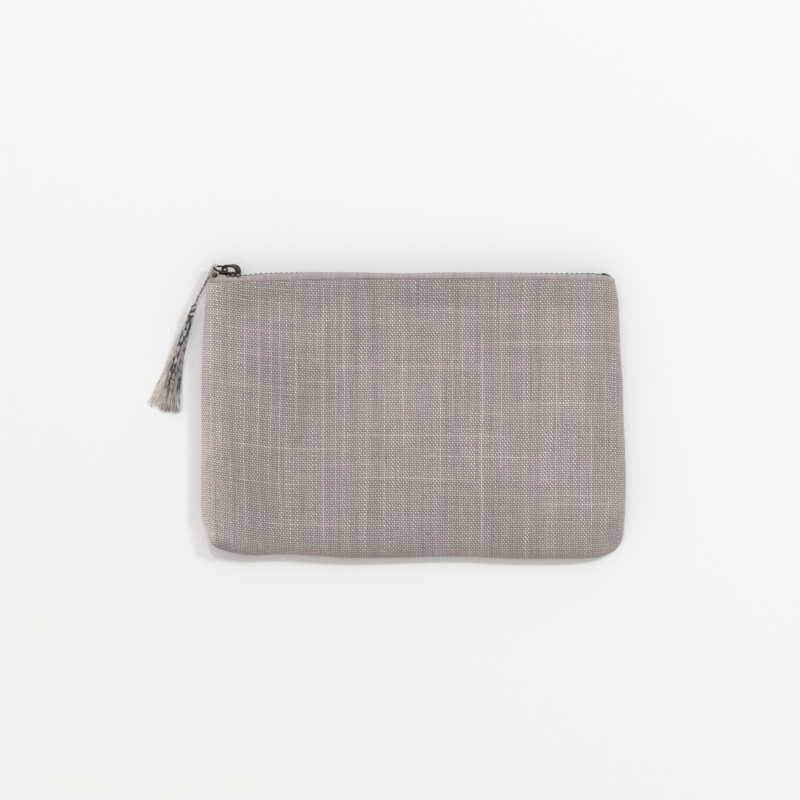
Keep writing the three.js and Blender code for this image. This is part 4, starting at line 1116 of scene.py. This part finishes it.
teeth, beads = {}, {}
for side in ("front", "back"):
    row, path = tooth_row(side == "front"), bead_path(side == "front")
    teeth[side] = mesh_piece(side + "_teeth_stamped", tooth_metal, (row, 0.0, 1.0), sharp=35)
    beads[side] = mesh_piece(side + "_bead_woven", tape, (*tube(path, BEAD_RADIUS, 10), 1.0))
    print(len(row), "teeth on the", side, "row")

# %% [markdown]
# ## Stops
#
# At the slider's end a round clip sits on each bead, and at the other end one clamp holds both. Turned
# pieces and blocks with soft edges cover them: a superellipse is a circle pressed towards a square, and
# its power says how far. Cylinders and bevelled cubes could do the same, but one formula gives both.

# %% Stops
def soft_block(low, high, power):
    """A superellipsoid between two corners: signed powers of sine and cosine in place of the plain ones.
    The first power rounds it from end to end along y, the second round the y axis."""
    middle, half = (np.array(low) + high) / 2, (np.array(high) - low) / 2
    u = np.linspace(-np.pi / 2, np.pi / 2, 20)[:, None]
    v = np.linspace(0, 2 * np.pi, 33)[None, :]
    out, along = signed_power(np.cos(u), 2 / power[0]), signed_power(np.sin(u), 2 / power[0])
    return middle + half * np.stack(np.broadcast_arrays(
        out * signed_power(np.cos(v), 2 / power[1]), along,
        out * signed_power(np.sin(v), 2 / power[1])), axis=-1)


STOP_REACH = 5.6         # the clip's outer face, over the bend of the tape
STOP_LOW, STOP_HIGH = (-0.2, 0.25, 0), (0.1, 0.55, 0)    # how far the clips go past their solids
CLAMP_LOW, CLAMP_HIGH = (-0.9, 0, 0), (0.8, 0.1, 0)      # and how far the clamp goes past its solid
CLAMP_BEND, BOW_HELD = 0.042, 97.5      # the clamp's bend, and the place past which the bow stays as it is
stops = {}
for side in ("front", "back"):
    low, high = box_mm(side + "_top_stop")
    low[2], high[2] = (low[2], CHAIN_Z + STOP_REACH) if side == "front" else (CHAIN_Z - STOP_REACH, high[2])
    low, high = low + STOP_LOW, high + STOP_HIGH
    grid = soft_block(low[[0, 2, 1]], high[[0, 2, 1]], (6, 2))[..., [0, 2, 1]]
    grid[..., 1] += zip_bow(grid[..., 0])
    stops[side] = mesh_piece(side + "_top_stop_turned", tooth_metal, (grid, 0.0, 1.0))
low, high = box_mm("bottom_stop")
low, high = low + CLAMP_LOW, high + CLAMP_HIGH
grid = soft_block(low, high, (5, 5))
grid[..., 1] += zip_bow(np.minimum(grid[..., 0], BOW_HELD)) - CLAMP_BEND * (grid[..., 0] - low[0]) ** 2
end_stop = mesh_piece("bottom_stop_crimped", tooth_metal, (grid, 0.0, 1.0))

# %% [markdown]
# ## Slider
#
# The slider is two plates joined by a wedge at its nose, with flanges that press the rows together. An
# arch on the outer plate, the crown, holds a wire ring. The plates are stacked outlines with a soft
# rim. Cubes with bevels could show them too, but the outline narrows to the tail and is round at the
# corners, which one formula gives.

# %% Slider
slider_low, slider_high = box_mm("slider_body")
SLIDER_X, SLIDER_PRESSED = -96.0, 0.3   # where the bow moves it, and how far it is pressed down
slider_shift = np.array([0, zip_bow(SLIDER_X), 0])
slider_low, slider_high = slider_low + slider_shift, slider_high + slider_shift
slider_high[1] -= SLIDER_PRESSED
WING, SQUIRCLE = 0.7, 0.42              # a plate's thickness, and the power of its outline
SHOULDER_HALF, TAIL_HALF = 4.2, 3.7
FLANGE, FLANGE_LENGTH, SLOT_HALF = 0.7, 6.9, 0.6


def wing_grid(inner, outer):
    """A plate from its inner to its outer face: squircle outlines whose half width narrows to the tail,
    pulled in at the rims, and closed at the middle of both faces."""
    a = np.linspace(0, 2 * np.pi, 61)[None, :]
    x, z = signed_power(np.cos(a), SQUIRCLE), signed_power(np.sin(a), SQUIRCLE)
    inset = np.array([9, 0.25, 0.06, 0, 0, 0.06, 0.3, 0.7, 9])[:, None]
    share = np.array([0, 0, 0.12, 0.3, 0.6, 0.82, 0.95, 1.0, 1.0])[:, None]
    half_long = np.maximum((slider_high[0] - slider_low[0]) / 2 - inset, 0)
    half_wide = SHOULDER_HALF + (TAIL_HALF - SHOULDER_HALF) * (x + 1) / 2
    wide = np.maximum(half_wide - inset, 0)
    return np.stack(np.broadcast_arrays((slider_low[0] + slider_high[0]) / 2 + half_long * x,
                                        inner + (outer - inner) * share, CHAIN_Z + wide * z), axis=-1)


outer_wing = wing_grid(slider_high[1] - WING, slider_high[1])
inner_wing = wing_grid(slider_low[1] + WING, slider_low[1])
bars = []
for up in (1, -1):
    for low_y, high_y in ((CHAIN_Y + SLOT_HALF, slider_high[1] - 0.6 * WING),
                          (slider_low[1] + 0.6 * WING, CHAIN_Y - SLOT_HALF)):
        z = CHAIN_Z + up * np.array([TAIL_HALF - FLANGE + 0.1, TAIL_HALF + 0.1])
        bars.append(soft_block((slider_high[0] - FLANGE_LENGTH, low_y, z.min()),
                               (slider_high[0] - 0.1, high_y, z.max()), (6, 6)))
post = soft_block((slider_low[0] + 0.3, slider_low[1] + 0.5, CHAIN_Z - 1.4),
                  (slider_low[0] + 4.6, slider_high[1] - 0.5, CHAIN_Z + 1.4), (8, 1.5))
slider = mesh_piece("slider_cast", slider_metal, (outer_wing, 0.0, 1.0), (inner_wing, 0.0, 1.0),
                    (np.stack([*bars, post]), 0.0, 1.0))

# %% [markdown]
# ## Crown
#
# The crown is a small cast arch over a window, thin above it and thick at its rear leg. It could be cut
# out of a block, but the soft edges of a casting come easier from one rounded section that is carried
# along a squircle arch.

# %% Crown
crown_low, crown_high = box_mm("slider_crown")
crown_low, crown_high = crown_low + slider_shift - [0, 0.35, 0], crown_high + slider_shift
BAR, LEG = 1.45, 2.9     # thickness over the window and at the rear leg
CROWN_EDGE = 0.7         # power of its rounded section
a = np.concatenate([[np.pi], np.linspace(np.pi, 0, 60), [0]])[:, None]
v = np.linspace(0, 2 * np.pi, 25)[None, :]
thick = BAR + (LEG - BAR) * ease(np.cos(a) + 0.1)
middle_x = (crown_low[0] + crown_high[0]) / 2 - 0.1
reach = (crown_high[0] - crown_low[0]) / 2 - np.where(np.cos(a) < 0, BAR / 2, 0.75)
rise = crown_high[1] - crown_low[1] - BAR / 2 + 0.2
bulge = np.where(np.cos(a) < 0, 0.5, 0.78)
arch_x = middle_x + reach * signed_power(np.cos(a), bulge)
arch_y = crown_low[1] - 0.1 + rise * np.abs(np.sin(a)) ** bulge
lean_x, lean_y = unit(np.concatenate([np.cos(a) * rise, np.sin(a) * reach], axis=1)).T[..., None]
section = np.ones_like(a)
section[[0, -1]] = 0
across = section * signed_power(np.cos(v), CROWN_EDGE) * thick / 2
side_on = section * signed_power(np.sin(v), CROWN_EDGE) * (crown_high[2] - crown_low[2]) / 2
crown_grid = np.stack(np.broadcast_arrays(arch_x + lean_x * across, arch_y + lean_y * across,
                                          CHAIN_Z + side_on), axis=-1)
crown = mesh_piece("slider_crown_cast", slider_metal, (crown_grid, 0.0, 1.0))

# %% [markdown]
# ## Ring
#
# The pull is a closed ring of round wire that hangs on the crown and leans over. Blender has a torus of
# its own, but this one has to reach from the crown's bar to the loop of the cord, so the two directions
# of its plane are worked out first, and a circle of wire is carried round.

# %% Ring
RING_WIRE, RING_TILT, RING_DROOP = 1.04, 24.0, 11.0
RING_HANGS = (-0.2, -1.3, 0)            # from the joint's axis to where the wire lies on the crown
ring_near = pivot_mm("pull_swing") + RING_HANGS
ring_span = np.linalg.norm(ring_far - pivot_mm("pull_swing"))
ring_heading = np.pi - np.radians(RING_DROOP)
ring_along = np.array([np.cos(ring_heading), np.sin(ring_heading), 0.0])
ring_end = ring_near + ring_span * ring_along
tilt = np.radians(RING_TILT)
ring_stand = np.cross(UP, ring_along) * np.sin(tilt) + UP * np.cos(tilt)
u, v = np.meshgrid(np.linspace(0, 2 * np.pi, 65), np.linspace(0, 2 * np.pi, 17), indexing="ij")
reach = (ring_span / 2 + RING_WIRE / 2 * np.cos(v))[..., None]
circle = np.cos(u)[..., None] * ring_along + np.sin(u)[..., None] * ring_stand
ring_grid = ((ring_near + ring_end) / 2 + reach * circle
             + (RING_WIRE / 2 * np.sin(v))[..., None] * np.cross(ring_along, ring_stand))
ring = mesh_piece("pull_ring_wire", slider_metal, (ring_grid, 0.0, 1.0))

# %% Metal pieces
for piece, node, body in ((end_stop, "bottom_stop", "back"), (slider, "slider_body", "slider"),
                          (crown, "slider_crown", "slider"), (ring, "pull_ring", "pull")):
    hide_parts(node)
    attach(piece, body)
    print(piece.name, "rides on", body)

# %% [markdown]
# ## How the cloth moves
#
# When the zip opens, the front leaf turns up about the hem. The side seams still hold it at both ends,
# so the mouth opens like a lens: nothing at the side seams and at the closed end of the zip, most in
# the middle. The blend between the two leaves gives the turn from hem to mouth, and its weights are then
# multiplied by a lens along the mouth. All pieces of the front use the same weights and stay together.
# The beads have no solid of their own: the teeth's solids hold them.

# %% Motion
LENS_LEFT, LENS_RIGHT = 100.0, 82.0


def open_like_a_lens(piece):
    """Blend weight times (1 - (x / end)²)², where end is the held end of the mouth on that side."""
    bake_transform(piece, "back", "front", start=(0, HEM_Y * MM, SEAM_Z * MM), end=(0, FOLD_Y * MM, SEAM_Z * MM))
    weights = piece.data.attributes["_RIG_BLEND"].data
    turn, places = np.zeros(len(weights), np.float32), np.zeros(3 * len(weights), np.float32)
    weights.foreach_get("value", turn)
    piece.data.vertices.foreach_get("co", places)
    x = places[::3] / MM
    lens = np.clip(1 - (x / np.where(x < 0, LENS_LEFT, LENS_RIGHT)) ** 2, 0, 1) ** 2
    weights.foreach_set("value", (turn * lens).astype(np.float32))


GROUPS = ((panels, "_panel", "linen"), (linings, "_lining", "lining"), (tapes, "_zip_tape", "zip_tape"),
          (teeth, "_teeth", "zip_metal"), (beads, None, "zip_tape"), (stops, "_top_stop", "zip_metal"))
for group, node, slot in GROUPS:
    for side, piece in group.items():
        if node:
            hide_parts(side + node)
        if side == "front":
            open_like_a_lens(piece)
        else:
            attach(piece, "back")
print(sum(len(group) for group, _, _ in GROUPS), "pieces move with the leaves")

# %% [markdown]
# ## Cut sizes
#
# The panels and linings are sheets of cloth, so their flat cuts are written down. The cut follows the
# cloth's own lengths, over the rolled edges and with the turned part at the mouth.

# %% Sheets
CUT_WIDTH = {"front": 0.214, "back": 0.211}      # metres, over the rolled edges
CUT_ROLL = 6             # more height for the rolls at the hem
for side, held in (("front", "stretched"), ("back", "laid")):
    for piece, turned in ((panels[side], FOLD_RETURN), (linings[side], 0.0)):
        area = sum(p.area for p in piece.data.polygons)
        flat = (CUT_WIDTH[side], (FOLD_Y - HEM_Y + CUT_ROLL + turned) * MM)
        area = min(area, 0.999 * flat[0] * flat[1])
        print(piece.name, "flat", np.round(np.array(flat) / MM, 1), "mm,", round(area * 1e4, 1), "cm²")

# %% [markdown]
# ## Table
#
# The table is a sheet of white paper, larger than the picture. A plain white plane would nearly do, but
# a faint grain keeps it a surface. It belongs to the stage and not to the pouch.

# %% Table
floor_finish, tree, shader = finish("white_paper_table", Roughness=0.85)
place = add(tree, "TexCoord", out="Object")
grain = add(tree, "TexNoise", {"Vector": place, "Scale": 1 / (0.8 * MM), "Detail": 2.0})
paper = add(tree, "Mix", {0: grain, 6: colour("#f3f3f2"), 7: colour("#f6f6f6")}, out=2, data_type="RGBA")
tree.links.new(paper, shader.inputs["Base Color"])
TABLE_HALF = 1500
x, y = np.meshgrid(*[np.linspace(-TABLE_HALF, TABLE_HALF, 3)] * 2)
floor = mesh_piece("table", floor_finish, (np.stack([x, y, 0 * x - 0.05], axis=-1), 0.0, 1.0), closed=False)

# %% [markdown]
# ## Light
#
# Three lamps stand beyond the top of the picture, the strongest nearly straight ahead and one on each
# side. Their shadows end on one line along the hem, and show singly at the two sides. One large lamp
# would be simpler, but its shadow has no such edges. A warm white world fills the rest, as inside a light
# tent. Together they give about as much light as makes a colour look as written.

# %% Light
LAMPS = [                # name, heading on the table, height angle, size, share of the light
    ("far_lamp", 82, 60, 320, 0.153), ("right_lamp", 35, 43, 500, 0.15), ("left_lamp", 125, 54, 420, 0.03),
]
LAMP_DISTANCE, WORLD_SHARE = 3200.0, 0.702
for name, heading, rise, size, share in LAMPS:
    data = bpy.data.lights.new(name, "AREA")
    data.size, data.color = size * MM, colour("#f3f9ff")[:3]
    data.energy = share * np.pi**2 * (LAMP_DISTANCE * MM) ** 2 / np.sin(np.radians(rise))
    lamp = bpy.data.objects.new(name, data)
    heading, rise = np.radians(heading), np.radians(rise)
    toward = np.array([np.cos(heading) * np.cos(rise), np.sin(heading) * np.cos(rise), np.sin(rise)])
    lamp.location = toward * LAMP_DISTANCE * MM
    lamp.rotation_euler = (np.pi / 2 - rise, 0, heading + np.pi / 2)
    bpy.context.collection.objects.link(lamp)
    print(name, round(data.energy, 2), "W")
world = bpy.data.worlds.new("light_tent")
world.use_nodes = True
world.node_tree.nodes["Background"].inputs["Color"].default_value = colour("#fffcf9")
world.node_tree.nodes["Background"].inputs["Strength"].default_value = WORLD_SHARE
bpy.context.scene.world = world

# %% [markdown]
# ## The end
#
# At the end the view layer is brought up to date.

# %% The end
bpy.context.view_layer.update()
